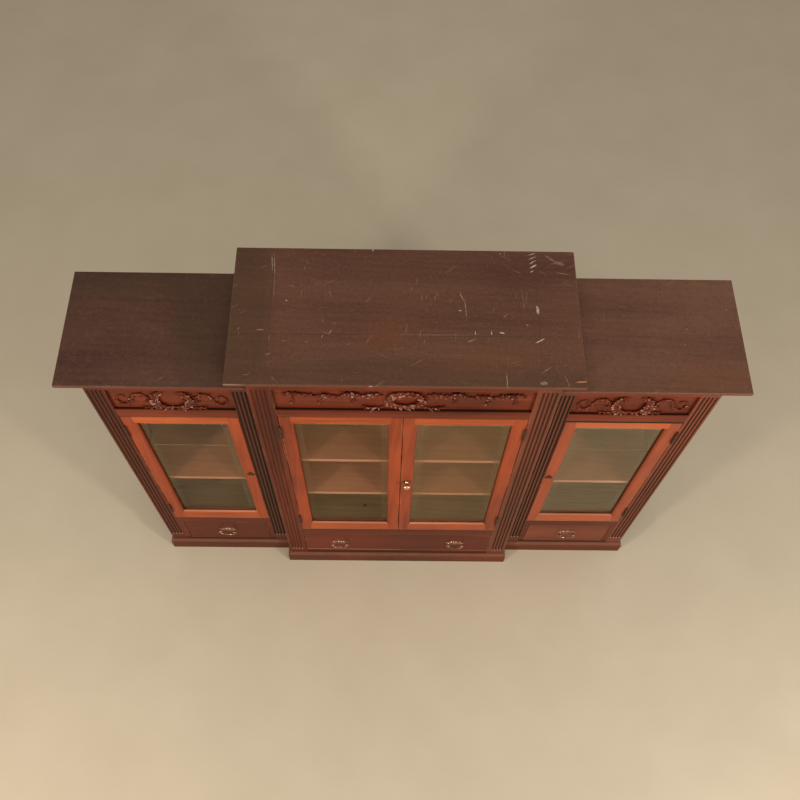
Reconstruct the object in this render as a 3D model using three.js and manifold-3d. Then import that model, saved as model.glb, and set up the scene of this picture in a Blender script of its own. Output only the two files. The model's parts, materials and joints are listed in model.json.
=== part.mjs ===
// A breakfront bookcase: a deep, tall centre section between two lower wings, with fluted
// pilasters, glazed doors, a drawer under each section and a planted plinth.
// Millimetres, +Z up, +X to the right, the front faces -Y. The origin is on the floor, in the
// middle of the box that holds the whole case.

import * as THREE from 'three';
import { mergeVertices } from 'three/addons/utils/BufferGeometryUtils.js';
import Module from 'manifold-3d';

const wasm = await Module();
wasm.setup();

// Case
const wingHeight = 1531;
const centreHeight = 1663;
const wingDepth = 350;
const breakfront = 55;
const caseHalfWidth = 953;
const centreHalfWidth = 450;
const panelThick = 18;
const faceThick = 22;
const backThick = 8;
const backLift = 60;

// Tops
const topThick = 20;
const topEdgeRound = 3;
const topUnderRound = 12;
const wingSideOverhang = 52;
const wingFrontOverhang = 45.5;
const centreFrontOverhang = 50;
const centreSideOverhang = 44;
const bedHeight = 22;
const bedReach = 20;
const bedFillet = 3;

// Plinth, planted round the foot of the case
const plinthReach = 11;
const plinthHeight = 82;
const plinthCapHeight = 18;
const plinthQuirk = 0.5;

// Pilasters and their flutes
const outerPilasterWidth = 61;
const innerPilasterWidth = 66;
const centrePilasterWidth = 70.5;
const flutesEach = 4;
const flutePitch = 12.6;
const fluteRadius = 3.5;
const outerFluteShift = 1.3;
const innerFluteShift = 8.5;
const centreFluteShift = 2.7;
const wingFluteFoot = 133;
const centreFluteFoot = 118;

// Doors
const wingDoorFoot = 340;
const centreDoorFoot = 374;
const doorThick = 21;
const doorGap = 2;
const meetingGap = 3;
const stileWidth = 42.5;
const topRailWidth = 50;
const bottomRailWidth = 60;
const stickingWidth = 8;
const stickingDepth = 8;
const glassLip = 2;
const glassTongue = 6;
const glassThick = 4;
const glassBevelWidth = 26;
const glassBevelDepth = 1.6;

// Butt hinges, two to a door, with the barrel proud of the front
const hingeLength = 76;
const hingeInset = 108;
const barrelRadius = 4;
const barrelProud = 4.5;
const pinRadius = 1.8;
const knuckleBore = 2.4;
const knuckleGap = 0.4;
const leafThick = 1.6;
const leafDepth = 17;
const finialHeight = 5;

// Friezes under the tops, from the top down: a fascia, a sunk panel for the carving, which
// starts level with the flutes beside it, and the rail over the doors
const wingFasciaHeight = 89;
const wingSunkHeight = 127;
const wingRailHeight = 47;
const centreFasciaHeight = 101;
const centreSunkHeight = 130;
const centreRailHeight = 41;
const friezeSink = 9;
const friezeThick = 20;
const ledgeBead = 3;

// Shelves: boards, and a plate of glass at the upper place in each wing
const shelfThick = 19;
const shelfGlassThick = 6;
const shelfSetback = 28;
const shelfHousing = 6;
const lowerShelfFoot = 678;
const upperShelfFoot = 974;

// Drawers and the case that each runs in
const floorThick = 18;
const runBoardThick = 18;
const wingDrawerFoot = 103;
const wingDrawerHead = 290;
const centreDrawerFoot = 121;
const centreDrawerHead = 304;
const wingDrawerMargin = 20;
const drawerGap = 1.5;
const drawerFrontThick = 20;
const drawerSideThick = 11;
const drawerSideDrop = 18;
const drawerBottomThick = 6;
const drawerBottomLift = 8;
const drawerBackSpace = 32;
const cheekThick = 14;

// Drawer pulls
const wingPullHeight = 202;
const centrePullHeight = 214;
const centrePullInset = 141;
const plateHalfWidth = 39;
const plateHalfHeight = 19;
const plateThick = 1.6;
const postSpread = 27;
const postReach = 11;
const postStem = 3;
const postHead = 4.8;
const bailRadius = 1.9;
const bailEye = 2.4;
const bailDrop = 31;
const bailShoulder = 8.5;

// Knob on the right-hand centre door, and the keyhole plates of the wing doors
const knobHeight = 869;
const knobRadius = 12.5;
const knobReach = 26;
const roseRadius = 13;
const roseThick = 2.5;
const keyholeHeight = 794;
const keyholePlateRadius = 15;
const keyholePlateThick = 1.5;
const keyholeInset = 17;

// Clearances
const fit = 0.3;
const overrun = 1;
const weld = 1e-4;

// Facets
const arcSteps = 4;
const roundSides = 12;
const knobSides = 20;
const bailSteps = 26;
const bailSides = 8;
const plateSteps = 36;

// Places that follow from the sizes above
const backY = (wingDepth + breakfront + centreFrontOverhang) / 2;
const wingFrontY = backY - wingDepth;
const centreFrontY = wingFrontY - breakfront;
const wingUnderTop = wingHeight - topThick;
const centreUnderTop = centreHeight - topThick;
const wingInnerX = caseHalfWidth - panelThick;
const centreInnerX = centreHalfWidth - panelThick;
const wingOpenOuterX = caseHalfWidth - outerPilasterWidth;
const wingOpenInnerX = centreHalfWidth + innerPilasterWidth;
const centreOpenX = centreHalfWidth - centrePilasterWidth;
const backFaceY = backY - backThick;
const wingFriezeHead = wingUnderTop - wingFasciaHeight;
const wingFriezeLedge = wingFriezeHead - wingSunkHeight;
const wingDoorHead = wingFriezeLedge - wingRailHeight;
const centreFriezeHead = centreUnderTop - centreFasciaHeight;
const centreFriezeLedge = centreFriezeHead - centreSunkHeight;
const centreDoorHead = centreFriezeLedge - centreRailHeight;

// Finishes
const finish = (color, roughness, metalness = 0) =>
  new THREE.MeshStandardMaterial({ color, roughness, metalness });
const topWood = () => finish(0x3a1e19, 0.45);
const caseWood = () => finish(0x5a2a1e, 0.5);
const doorWood = () => finish(0xa8462a, 0.45);
const boardWood = () => finish(0x9a5034, 0.6);
const backWood = () => finish(0x5c4c33, 0.7);
const drawerWood = () => finish(0x62291c, 0.5);
const paneGlass = () => finish(0xc9d2c4, 0.05);
const oldBrass = () => finish(0x8a6a35, 0.4, 0.9);
const brightBrass = () => finish(0xc9983f, 0.25, 1);
const darkIron = () => finish(0x2a1d16, 0.5, 0.7);

// Solids and meshes
function solidOf(geometry) {
  geometry.deleteAttribute('normal');
  geometry.deleteAttribute('uv');
  const merged = mergeVertices(geometry, weld);
  const corners = merged.index.array;
  const kept = [];
  for (let i = 0; i < corners.length; i += 3) {
    const [a, b, c] = [corners[i], corners[i + 1], corners[i + 2]];
    if (a !== b && b !== c && c !== a) kept.push(a, b, c);
  }
  return new wasm.Manifold(new wasm.Mesh({
    numProp: 3,
    vertProperties: new Float32Array(merged.attributes.position.array),
    triVerts: new Uint32Array(kept),
  }));
}

function meshOf(name, solid, material) {
  const { vertProperties, triVerts } = solid.getMesh();
  const geometry = new THREE.BufferGeometry();
  geometry.setAttribute('position', new THREE.BufferAttribute(vertProperties, 3));
  geometry.setIndex(new THREE.BufferAttribute(triVerts, 1));
  geometry.computeVertexNormals();
  const mesh = new THREE.Mesh(geometry, material);
  mesh.name = name;
  return mesh;
}

const joined = (solids) => solids.reduce((sum, solid) => sum.add(solid));

// A board between two opposite corners
function block([x0, x1], [y0, y1], [z0, z1]) {
  const geometry = new THREE.BoxGeometry(1, 1, 1);
  const at = geometry.attributes.position;
  const low = [Math.min(x0, x1), Math.min(y0, y1), Math.min(z0, z1)];
  const high = [Math.max(x0, x1), Math.max(y0, y1), Math.max(z0, z1)];
  for (let i = 0; i < at.array.length; i++) {
    at.array[i] = at.array[i] < 0 ? low[i % 3] : high[i % 3];
  }
  return solidOf(geometry);
}

// Faces between rings of equal count, closed by end caps or back onto the first ring
function skin(rings, looped = false) {
  const count = rings[0].length;
  const index = [];
  const spans = looped ? rings.length : rings.length - 1;
  for (let i = 0; i < spans; i++) {
    const next = (i + 1) % rings.length;
    for (let j = 0; j < count; j++) {
      const k = (j + 1) % count;
      const [a, b, c, d] = [i * count + j, i * count + k, next * count + k, next * count + j];
      index.push(a, b, c, a, c, d);
    }
  }
  if (!looped) {
    const contour = flattened(rings[0]);
    const turn = Math.sign(THREE.ShapeUtils.area(contour));
    const last = (rings.length - 1) * count;
    for (const face of THREE.ShapeUtils.triangulateShape(contour, [])) {
      const along = turn * THREE.ShapeUtils.area(face.map((k) => contour[k])) > 0;
      const [a, b, c] = along ? face : face.slice().reverse();
      index.push(c, b, a, last + a, last + b, last + c);
    }
  }
  const points = rings.flat();
  const geometry = new THREE.BufferGeometry().setFromPoints(points);
  geometry.setIndex(volumeOf(points, index) < 0 ? index.reverse() : index);
  return solidOf(geometry);
}

// A flat ring seen square to its own plane, along whichever axis it faces most
function flattened(ring) {
  const normal = new THREE.Vector3();
  ring.forEach((p, i) => normal.add(p.clone().cross(ring[(i + 1) % ring.length])));
  const [x, y, z] = normal.toArray().map(Math.abs);
  const view = x > y && x > z ? (p) => [p.y, p.z] : y > z ? (p) => [p.x, p.z] : (p) => [p.x, p.y];
  return ring.map((p) => new THREE.Vector2(...view(p)));
}

function volumeOf(points, index) {
  let sum = 0;
  for (let i = 0; i < index.length; i += 3) {
    const [a, b, c] = [points[index[i]], points[index[i + 1]], points[index[i + 2]]];
    sum += a.dot(b.clone().cross(c));
  }
  return sum;
}

const point = (x, y, z) => new THREE.Vector3(x, y, z);
const flatRing = ([x0, x1], [y0, y1], z) =>
  [point(x0, y0, z), point(x1, y0, z), point(x1, y1, z), point(x0, y1, z)];
const uprightRing = ([x0, x1], [z0, z1], y) =>
  [point(x0, y, z0), point(x1, y, z0), point(x1, y, z1), point(x0, y, z1)];
const sideRing = (outline, x) => outline.map(([y, z]) => point(x, y, z));

// Points of an elliptical arc, for moulding outlines
function arc(centre, radii, from, to) {
  const curve = new THREE.EllipseCurve(...centre, ...radii, from, to, to < from);
  return curve.getPoints(arcSteps).map((p) => p.toArray());
}

// A moulding carried along a plan path and mitred at its corners. The outline is in pairs of
// reach and height, and the path is walked with the outside on its right.
function mitredMoulding(outline, path) {
  const spots = path.map(([x, y]) => new THREE.Vector2(x, y));
  const outward = spots.slice(1).map((spot, i) => {
    const way = spot.clone().sub(spots[i]).normalize();
    return new THREE.Vector2(way.y, -way.x);
  });
  const rings = spots.map((spot, i) => {
    const before = outward[Math.max(i - 1, 0)];
    const after = outward[Math.min(i, outward.length - 1)];
    const mitre = before.clone().add(after).divideScalar(1 + before.dot(after));
    return outline.map(([reach, height]) =>
      point(spot.x + mitre.x * reach, spot.y + mitre.y * reach, height));
  });
  return skin(rings);
}

// A turned piece: pairs of radius and distance along its axis, which runs up from the origin
function turned(outline, sides = roundSides) {
  return solidOf(new THREE.LatheGeometry(outline.map((p) => new THREE.Vector2(...p)), sides));
}

// Three.js turns about Y and extrudes along Z: this stands a turned piece up and lays a sheet
// against the front
const standUp = (solid) => solid.rotate([90, 0, 0]);

const ball = (radius) => {
  const outline = arc([0, 0], [radius, radius], -Math.PI / 2, Math.PI / 2);
  return outline.map(([r, h]) => [Math.max(r, 0), h]);
};

// Tops: a board over a coved bed moulding. Its edge is rounded underneath and eased above.
function topBoard([x0, x1], [frontY, rearY], under, eased) {
  const lower = arc([topUnderRound, under + topUnderRound], [topUnderRound, topUnderRound],
    -Math.PI / 2, -Math.PI);
  const upper = arc([topEdgeRound, under + topThick - topEdgeRound], [topEdgeRound, topEdgeRound],
    Math.PI, Math.PI / 2);
  return skin([...lower, ...upper].map(([back, z]) => flatRing(
    [x0 + back * eased.left, x1 - back * eased.right],
    [frontY + back, rearY],
    z,
  )));
}

function bedOutline(under) {
  const foot = under - bedHeight;
  const cove = arc([bedReach, foot], [bedReach - bedFillet, bedHeight - bedFillet],
    Math.PI / 2, Math.PI);
  return [[0, under + overrun], [bedReach, under + overrun], ...cove, [0, foot]];
}

function wingTop(name, side) {
  const reach = caseHalfWidth + wingSideOverhang;
  const span = side < 0 ? [-reach, -centreHalfWidth] : [centreHalfWidth, reach];
  const eased = { left: side < 0 ? 1 : 0, right: side > 0 ? 1 : 0 };
  const board = topBoard(span, [wingFrontY - wingFrontOverhang, backY], wingUnderTop, eased);
  const corner = [side * caseHalfWidth, wingFrontY];
  const path = [[side * caseHalfWidth, backY], corner, [side * centreHalfWidth, wingFrontY]];
  const bed = mitredMoulding(bedOutline(wingUnderTop), side < 0 ? path : path.reverse());
  return meshOf(name, board.add(bed), topWood());
}

function centreTop(name) {
  const reach = centreHalfWidth + centreSideOverhang;
  const board = topBoard([-reach, reach], [centreFrontY - centreFrontOverhang, backY],
    centreUnderTop, { left: 1, right: 1 });
  const bed = mitredMoulding(bedOutline(centreUnderTop), [
    [-centreHalfWidth, backY], [-centreHalfWidth, centreFrontY],
    [centreHalfWidth, centreFrontY], [centreHalfWidth, backY],
  ]);
  return meshOf(name, board.add(bed), topWood());
}

// Plinth: one planted board with a rounded cap, mitred round both wings and the breakfront
function plinth() {
  const capFoot = plinthHeight - plinthCapHeight;
  const cap = arc([0, capFoot], [plinthReach - plinthQuirk, plinthCapHeight], 0, Math.PI / 2);
  const outline = [[0, 0], [plinthReach, 0], [plinthReach, capFoot], ...cap.slice(0, -1),
    [0, plinthHeight]];
  const half = [[caseHalfWidth, backY], [caseHalfWidth, wingFrontY],
    [centreHalfWidth, wingFrontY], [centreHalfWidth, centreFrontY]];
  const left = half.map(([x, y]) => [-x, y]);
  return meshOf('plinth', mitredMoulding(outline, [...left, ...half.reverse()]), caseWood());
}

// Upright panels, with housings for the shelves
const boardAt = (foot) => ({ foot, thick: shelfThick, look: boardWood });
const glassAt = (foot) => ({ foot, thick: shelfGlassThick, look: paneGlass });
const wingShelves = { lower: boardAt(lowerShelfFoot), upper: glassAt(upperShelfFoot) };
const centreShelves = { lower: boardAt(lowerShelfFoot), upper: boardAt(upperShelfFoot) };

function shelfHousings(shelves, faceX, side, frontY) {
  return Object.values(shelves).map(({ foot, thick }) => block(
    [faceX - side * overrun, faceX + side * (shelfHousing + fit)],
    [frontY + shelfSetback - fit, backFaceY + overrun],
    [foot - fit, foot + thick + fit],
  ));
}

function sidePanel(name, side) {
  const panel = block([side * wingInnerX, side * caseHalfWidth], [wingFrontY + faceThick, backY],
    [0, wingUnderTop]);
  const cuts = shelfHousings(wingShelves, side * wingInnerX, side, wingFrontY);
  return meshOf(name, panel.subtract(joined(cuts)), caseWood());
}

function partition(name, side) {
  const panel = block([side * centreInnerX, side * centreHalfWidth],
    [centreFrontY + faceThick, backY], [0, centreUnderTop]);
  const cuts = [
    ...shelfHousings(centreShelves, side * centreInnerX, side, centreFrontY),
    ...shelfHousings(wingShelves, side * centreHalfWidth, -side, wingFrontY),
  ];
  return meshOf(name, panel.subtract(joined(cuts)), caseWood());
}

// The three bays: what lies between two uprights, and the face opening between two pilasters
const wingBay = (name, side) => ({
  name,
  inner: [side * centreHalfWidth, side * wingInnerX].sort((a, b) => a - b),
  open: [side * wingOpenInnerX, side * wingOpenOuterX].sort((a, b) => a - b),
  frontY: wingFrontY,
  shelves: wingShelves,
  underTop: wingUnderTop,
  doorFoot: wingDoorFoot,
  doorHead: wingDoorHead,
  ledge: wingFriezeLedge,
  friezeHead: wingFriezeHead,
  drawerMargin: wingDrawerMargin,
  drawerFoot: wingDrawerFoot,
  drawerHead: wingDrawerHead,
});

const centreBay = {
  name: 'centre',
  inner: [-centreInnerX, centreInnerX],
  open: [-centreOpenX, centreOpenX],
  frontY: centreFrontY,
  shelves: centreShelves,
  underTop: centreUnderTop,
  doorFoot: centreDoorFoot,
  doorHead: centreDoorHead,
  ledge: centreFriezeLedge,
  friezeHead: centreFriezeHead,
  drawerMargin: 0,
  drawerFoot: centreDrawerFoot,
  drawerHead: centreDrawerHead,
};

const bays = [wingBay('left', -1), centreBay, wingBay('right', 1)];
const inset = ([low, high], by) => [low + by, high - by];

function backPanel(bay) {
  const board = block(bay.inner, [backFaceY, backY], [backLift, bay.underTop]);
  return meshOf(`back_${bay.name}`, board, backWood());
}

function shelf(bay, level) {
  const { foot, thick, look } = bay.shelves[level];
  const plate = block(inset(bay.inner, -shelfHousing), [bay.frontY + shelfSetback, backFaceY],
    [foot, foot + thick]);
  return meshOf(`shelf_${bay.name}_${level}`, plate, look());
}

// Frieze board: a rail over the doors, a sunk panel above its beaded ledge, and a fascia
function frieze(bay) {
  const front = bay.frontY;
  const sunk = front + friezeSink;
  const bead = arc([front + ledgeBead, bay.ledge - ledgeBead], [ledgeBead, ledgeBead],
    Math.PI, Math.PI / 2);
  const outline = [
    [front, bay.doorHead], ...bead, [sunk, bay.ledge], [sunk, bay.friezeHead],
    [front, bay.friezeHead], [front, bay.underTop], [front + friezeThick, bay.underTop],
    [front + friezeThick, bay.doorHead],
  ];
  const board = skin(bay.open.map((x) => sideRing(outline, x)));
  return meshOf(`frieze_${bay.name}`, board, caseWood());
}

// Case of a drawer: the compartment's floor, the board that the drawer runs on, a cheek at each
// side to guide it, and a face board cut out for the drawer
function drawerCase(bay) {
  const mouth = inset(bay.open, bay.drawerMargin);
  const faceBack = bay.frontY + faceThick;
  const depth = [faceBack - overrun, backFaceY];
  const face = block(bay.open, [bay.frontY, faceBack], [0, bay.doorFoot]);
  const cut = block(mouth, [bay.frontY - overrun, faceBack + overrun],
    [bay.drawerFoot, bay.drawerHead]);
  const boards = [[bay.doorFoot - floorThick, bay.doorFoot],
    [bay.drawerFoot - runBoardThick, bay.drawerFoot]];
  const flats = boards.map((heights) => block(bay.inner, [faceBack, backFaceY], heights).add(
    block(bay.open, depth, heights)));
  const cheeks = [[mouth[0], -1], [mouth[1], 1]].map(([x, side]) => block(
    [x + side * fit, x + side * cheekThick], [faceBack, backFaceY],
    [bay.drawerFoot - overrun, bay.doorFoot - overrun],
  ));
  const solid = joined([...flats, ...cheeks, face]).subtract(cut);
  return meshOf(`drawer_case_${bay.name}`, solid, caseWood());
}

function drawer(bay) {
  const width = inset(bay.open, bay.drawerMargin + drawerGap);
  const foot = bay.drawerFoot + fit;
  const head = bay.drawerHead - drawerGap;
  const innerFrontY = bay.frontY + drawerFrontThick;
  const rearY = backFaceY - drawerBackSpace;
  const front = block(width, [bay.frontY, innerFrontY], [foot, head]);
  const box = block(width, [innerFrontY - overrun, rearY], [foot, head - drawerSideDrop]);
  const floorTop = foot + drawerBottomLift + drawerBottomThick;
  const room = [innerFrontY, rearY - drawerSideThick];
  const hollow = block(inset(width, drawerSideThick), room, [floorTop, head]);
  const under = block(inset(width, drawerSideThick), room,
    [foot - overrun, foot + drawerBottomLift]);
  const solid = front.add(box).subtract(hollow).subtract(under);
  return meshOf(`drawer_${bay.name}`, solid, drawerWood());
}

// Doors: their places, then the frame, the pane and the hinges of each
const wingDoor = (name, side) => ({
  name,
  hand: side,
  width: inset(wingBay(name, side).open, doorGap),
  heights: inset([wingDoorFoot, wingDoorHead], doorGap),
  frontY: wingFrontY,
});

const centreDoor = (name, side) => ({
  name,
  hand: side,
  width: [side * (centreOpenX - doorGap), side * meetingGap / 2].sort((a, b) => a - b),
  heights: inset([centreDoorFoot, centreDoorHead], doorGap),
  frontY: centreFrontY,
});

const doors = [
  wingDoor('left', -1), centreDoor('centre_left', -1),
  centreDoor('centre_right', 1), wingDoor('right', 1),
];

const sightWidth = (door) => inset(door.width, stileWidth);
const sightHeights = ({ heights: [foot, head] }) => [foot + bottomRailWidth, head - topRailWidth];
const hingeX = ({ hand, width: [left, right] }) =>
  (hand < 0 ? left - doorGap / 2 : right + doorGap / 2);
const hingeHeights = ({ heights: [foot, head] }) =>
  ({ lower: foot + hingeInset, upper: head - hingeInset });

// The middle knuckle, and the stub of the leaf that joins it to the door's edge
function doorKnuckle(door, height) {
  const half = hingeLength / 6 - knuckleGap;
  const ring = turned([[knuckleBore, -half], [barrelRadius, -half], [barrelRadius, half],
    [knuckleBore, half], [knuckleBore, -half]]);
  const axisY = door.frontY - barrelProud;
  const edge = door.hand < 0 ? door.width[0] : door.width[1];
  const stub = block([edge, edge - door.hand * leafThick],
    [axisY + knuckleBore, door.frontY + overrun], [height - half, height + half]);
  return standUp(ring).translate([hingeX(door), axisY, height]).add(stub);
}

function doorFrame(door) {
  const width = sightWidth(door);
  const heights = sightHeights(door);
  const front = door.frontY;
  const ring = (out, depth) =>
    uprightRing(inset(width, -out), inset(heights, -out), front + depth);
  const sticking = arc([stickingWidth, stickingDepth], [stickingWidth, stickingDepth],
    -Math.PI / 2, -Math.PI);
  const slotFront = stickingDepth + glassLip;
  const slotBack = slotFront + glassThick + fit + fit;
  const rings = [
    uprightRing(door.width, door.heights, front),
    ...sticking.map(([out, depth]) => ring(out, depth)),
    ring(0, slotFront),
    ring(glassTongue + fit, slotFront),
    ring(glassTongue + fit, slotBack),
    ring(0, slotBack),
    ring(0, doorThick),
    uprightRing(door.width, door.heights, front + doorThick),
  ];
  const knuckles = Object.values(hingeHeights(door)).map((height) => doorKnuckle(door, height));
  return meshOf(`door_${door.name}`, joined([skin(rings, true), ...knuckles]), doorWood());
}

// Pane with a ground bevel round its front
function pane(door) {
  const face = door.frontY + stickingDepth + glassLip + fit;
  const width = inset(sightWidth(door), -glassTongue);
  const heights = inset(sightHeights(door), -glassTongue);
  const rings = [
    uprightRing(inset(width, glassBevelWidth), inset(heights, glassBevelWidth), face),
    uprightRing(width, heights, face + glassBevelDepth),
    uprightRing(width, heights, face + glassThick),
  ];
  return meshOf(`glass_${door.name}`, skin(rings), paneGlass());
}

// Fixed half of a hinge: the leaf let into the pilaster, two knuckles, the pin and its finials
function fixedHinge(door, level) {
  const height = hingeHeights(door)[level];
  const half = hingeLength / 2;
  const third = hingeLength / 6;
  const tip = arc([0, 0], [barrelRadius, finialHeight], 0, Math.PI / 2).slice(1, -1);
  const top = [[pinRadius, third], [barrelRadius, third], [barrelRadius, half],
    ...tip.map(([r, h]) => [r, half + h]), [0, half + finialHeight]];
  const bottom = top.map(([r, h]) => [r, -h]).reverse();
  const axisY = door.frontY - barrelProud;
  const barrel = standUp(turned([...bottom, ...top])).translate([hingeX(door), axisY, height]);
  const edge = hingeX(door) + door.hand * doorGap / 2;
  const leafX = [edge, edge + door.hand * leafThick];
  const leaf = block(leafX, [door.frontY, door.frontY + leafDepth],
    [height - half, height + half]);
  const stubs = [[-half, -third], [third, half]].map(([low, high]) => block(leafX,
    [axisY, door.frontY + overrun], [height + low, height + high]));
  return meshOf(`hinge_${door.name}_${level}`, joined([barrel, leaf, ...stubs]), darkIron());
}

// Pilasters: fluted face boards, some with hinge leaves let into their inner edge
function pilaster(name, { span, frontY, underTop, fluteFoot, fluteHead, flutesX }, hung) {
  const board = block(span, [frontY, frontY + faceThick], [0, underTop]);
  const length = fluteHead - fluteFoot - fluteRadius - fluteRadius;
  const cuts = Array.from({ length: flutesEach }, (_, i) => {
    const flute = new THREE.CapsuleGeometry(fluteRadius, length, arcSteps, roundSides, 1);
    const x = flutesX + (i - (flutesEach - 1) / 2) * flutePitch;
    return standUp(solidOf(flute)).translate([x, frontY, (fluteFoot + fluteHead) / 2]);
  });
  for (const door of hung) {
    const edge = hingeX(door) + door.hand * doorGap / 2;
    for (const height of Object.values(hingeHeights(door))) {
      const half = hingeLength / 2 + fit;
      cuts.push(block([edge - door.hand * overrun, edge + door.hand * (leafThick + fit)],
        [frontY - overrun, frontY + leafDepth + fit], [height - half, height + half]));
    }
  }
  return meshOf(name, board.subtract(joined(cuts)), caseWood());
}

function pilasters(side) {
  const word = side < 0 ? 'left' : 'right';
  const outer = [side * wingOpenOuterX, side * caseHalfWidth];
  const inner = [side * centreHalfWidth, side * wingOpenInnerX];
  const centre = [side * centreOpenX, side * centreHalfWidth];
  const middle = ([a, b]) => (a + b) / 2;
  const wing = { frontY: wingFrontY, underTop: wingUnderTop, fluteFoot: wingFluteFoot,
    fluteHead: wingFriezeHead };
  const tall = { frontY: centreFrontY, underTop: centreUnderTop, fluteFoot: centreFluteFoot,
    fluteHead: centreFriezeHead };
  const hungOn = (name) => doors.filter((door) => door.name === name);
  return [
    pilaster(`pilaster_${word}_outer`,
      { ...wing, span: outer, flutesX: middle(outer) + side * outerFluteShift }, hungOn(word)),
    pilaster(`pilaster_${word}_inner`,
      { ...wing, span: inner, flutesX: middle(inner) + side * innerFluteShift }, []),
    pilaster(`pilaster_centre_${word}`,
      { ...tall, span: centre, flutesX: middle(centre) + side * centreFluteShift },
      hungOn(`centre_${word}`)),
  ];
}

// Pulls: a shaped plate with two ball-headed posts, and a bail that swings between them
const wingPullX = (wingOpenInnerX + wingOpenOuterX) / 2;
const centrePullX = centreOpenX - drawerGap - centrePullInset;
const pulls = [
  { name: 'left', x: -wingPullX, frontY: wingFrontY, z: wingPullHeight },
  { name: 'centre_left', x: -centrePullX, frontY: centreFrontY, z: centrePullHeight },
  { name: 'centre_right', x: centrePullX, frontY: centreFrontY, z: centrePullHeight },
  { name: 'right', x: wingPullX, frontY: wingFrontY, z: wingPullHeight },
];

// Quarter outline of the plate, as shares of its half width and half height
const plateShares = [[1, 0], [0.88, 0.36], [0.66, 0.4], [0.54, 0.84], [0.3, 0.7], [0, 1]];

function plateOutline() {
  const [right, top] = [plateShares[0], plateShares[plateShares.length - 1]];
  const between = plateShares.slice(1, -1);
  const shares = [
    right, ...between, top,
    ...between.map(([x, z]) => [-x, z]).reverse(), [-right[0], 0],
    ...between.map(([x, z]) => [-x, -z]), [0, -top[1]],
    ...between.map(([x, z]) => [x, -z]).reverse(),
  ];
  const spots = shares.map(([x, z]) => point(x * plateHalfWidth, z * plateHalfHeight, 0));
  const curve = new THREE.CatmullRomCurve3(spots, true);
  return curve.getPoints(plateSteps).slice(0, -1).map((p) => new THREE.Vector2(p.x, p.y));
}

function pullPlate(pull) {
  const sheet = new THREE.ExtrudeGeometry(new THREE.Shape(plateOutline()),
    { depth: plateThick, bevelEnabled: false, steps: 1 });
  const plate = standUp(solidOf(sheet));
  const axisY = -plateThick - postReach;
  const posts = [-1, 1].map((side) => {
    const stem = turned([[0, -overrun], [postStem, -overrun], [postStem, postReach],
      [0, postReach]]);
    const head = turned(ball(postHead)).translate([0, postReach, 0]);
    const eye = turned([[0, 0], [bailEye, 0], [bailEye, postHead + overrun],
      [0, postHead + overrun]]).rotate([0, 0, -90 * side]);
    return stem.add(head).rotate([0, 0, 180]).translate([side * postSpread, -plateThick, 0])
      .subtract(eye.translate([side * postSpread, axisY, 0]));
  });
  const solid = joined([plate, ...posts]).translate([pull.x, pull.frontY, pull.z]);
  return meshOf(`pull_plate_${pull.name}`, solid, oldBrass());
}

// Half of the bail's line, as shares of its half width and its drop
const bailShares = [[1, 0.12], [1, 0.3], [0.84, 0.62], [0.44, 0.9], [0, 1]];

function bail(pull) {
  const half = postSpread + bailShoulder;
  const pinEnd = postSpread + fit + fit;
  const run = [[-pinEnd, 0], [-(pinEnd + half) / 2, 0],
    ...bailShares.map(([x, z]) => [-x * half, -z * bailDrop]),
    ...bailShares.slice(0, -1).map(([x, z]) => [x * half, -z * bailDrop]).reverse(),
    [(pinEnd + half) / 2, 0], [pinEnd, 0]];
  const path = new THREE.CatmullRomCurve3(run.map(([x, z]) => point(x, 0, z)), false,
    'centripetal');
  const section = new THREE.Shape(Array.from({ length: bailSides }, (_, i) => {
    const turn = i / bailSides * 2 * Math.PI;
    return new THREE.Vector2(bailRadius * Math.cos(turn), bailRadius * Math.sin(turn));
  }));
  const rod = new THREE.ExtrudeGeometry(section,
    { extrudePath: path, steps: bailSteps, bevelEnabled: false });
  const solid = solidOf(rod).translate([pull.x, pull.frontY - plateThick - postReach, pull.z]);
  return meshOf(`bail_${pull.name}`, solid, oldBrass());
}

// Knob: a turned brass grip on a neck, over a thin dark rose
const knobShares = [[0.5, 0], [0.34, 0.12], [0.3, 0.3], [0.52, 0.42], [0.9, 0.56], [1, 0.7],
  [0.9, 0.85], [0.55, 0.96]];

function knobSpot() {
  const door = doors.find(({ name }) => name === 'centre_right');
  return [(door.width[0] + sightWidth(door)[0]) / 2, door.frontY, knobHeight];
}

function knob() {
  const [x, y, z] = knobSpot();
  const outline = [[0, 0], ...knobShares.map(([r, h]) => [r * knobRadius, h * knobReach]),
    [0, knobReach]];
  const grip = turned(outline, knobSides).rotate([0, 0, 180]);
  return meshOf('knob', grip.translate([x, y - roseThick - fit, z]), brightBrass());
}

function knobRose() {
  const [x, y, z] = knobSpot();
  const edge = arc([roseRadius - roseThick, 0], [roseThick, roseThick], 0, Math.PI / 2);
  const disc = turned([[0, 0], ...edge, [0, roseThick]], knobSides).rotate([0, 0, 180]);
  return meshOf('knob_rose', disc.translate([x, y, z]), darkIron());
}

// Keyhole plate: a three-lobed plate with a pierced eye in each lobe round the keyhole
const lobeShare = 0.24;
const lobePlaceShare = 0.66;
const lobeHoleShare = 0.2;
const keyholeShare = 0.16;
const plateSpreadShare = 0.8;

function circleHole(x, z, radius) {
  return new THREE.Path().absarc(x, z, radius, 0, 2 * Math.PI, true);
}

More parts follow.
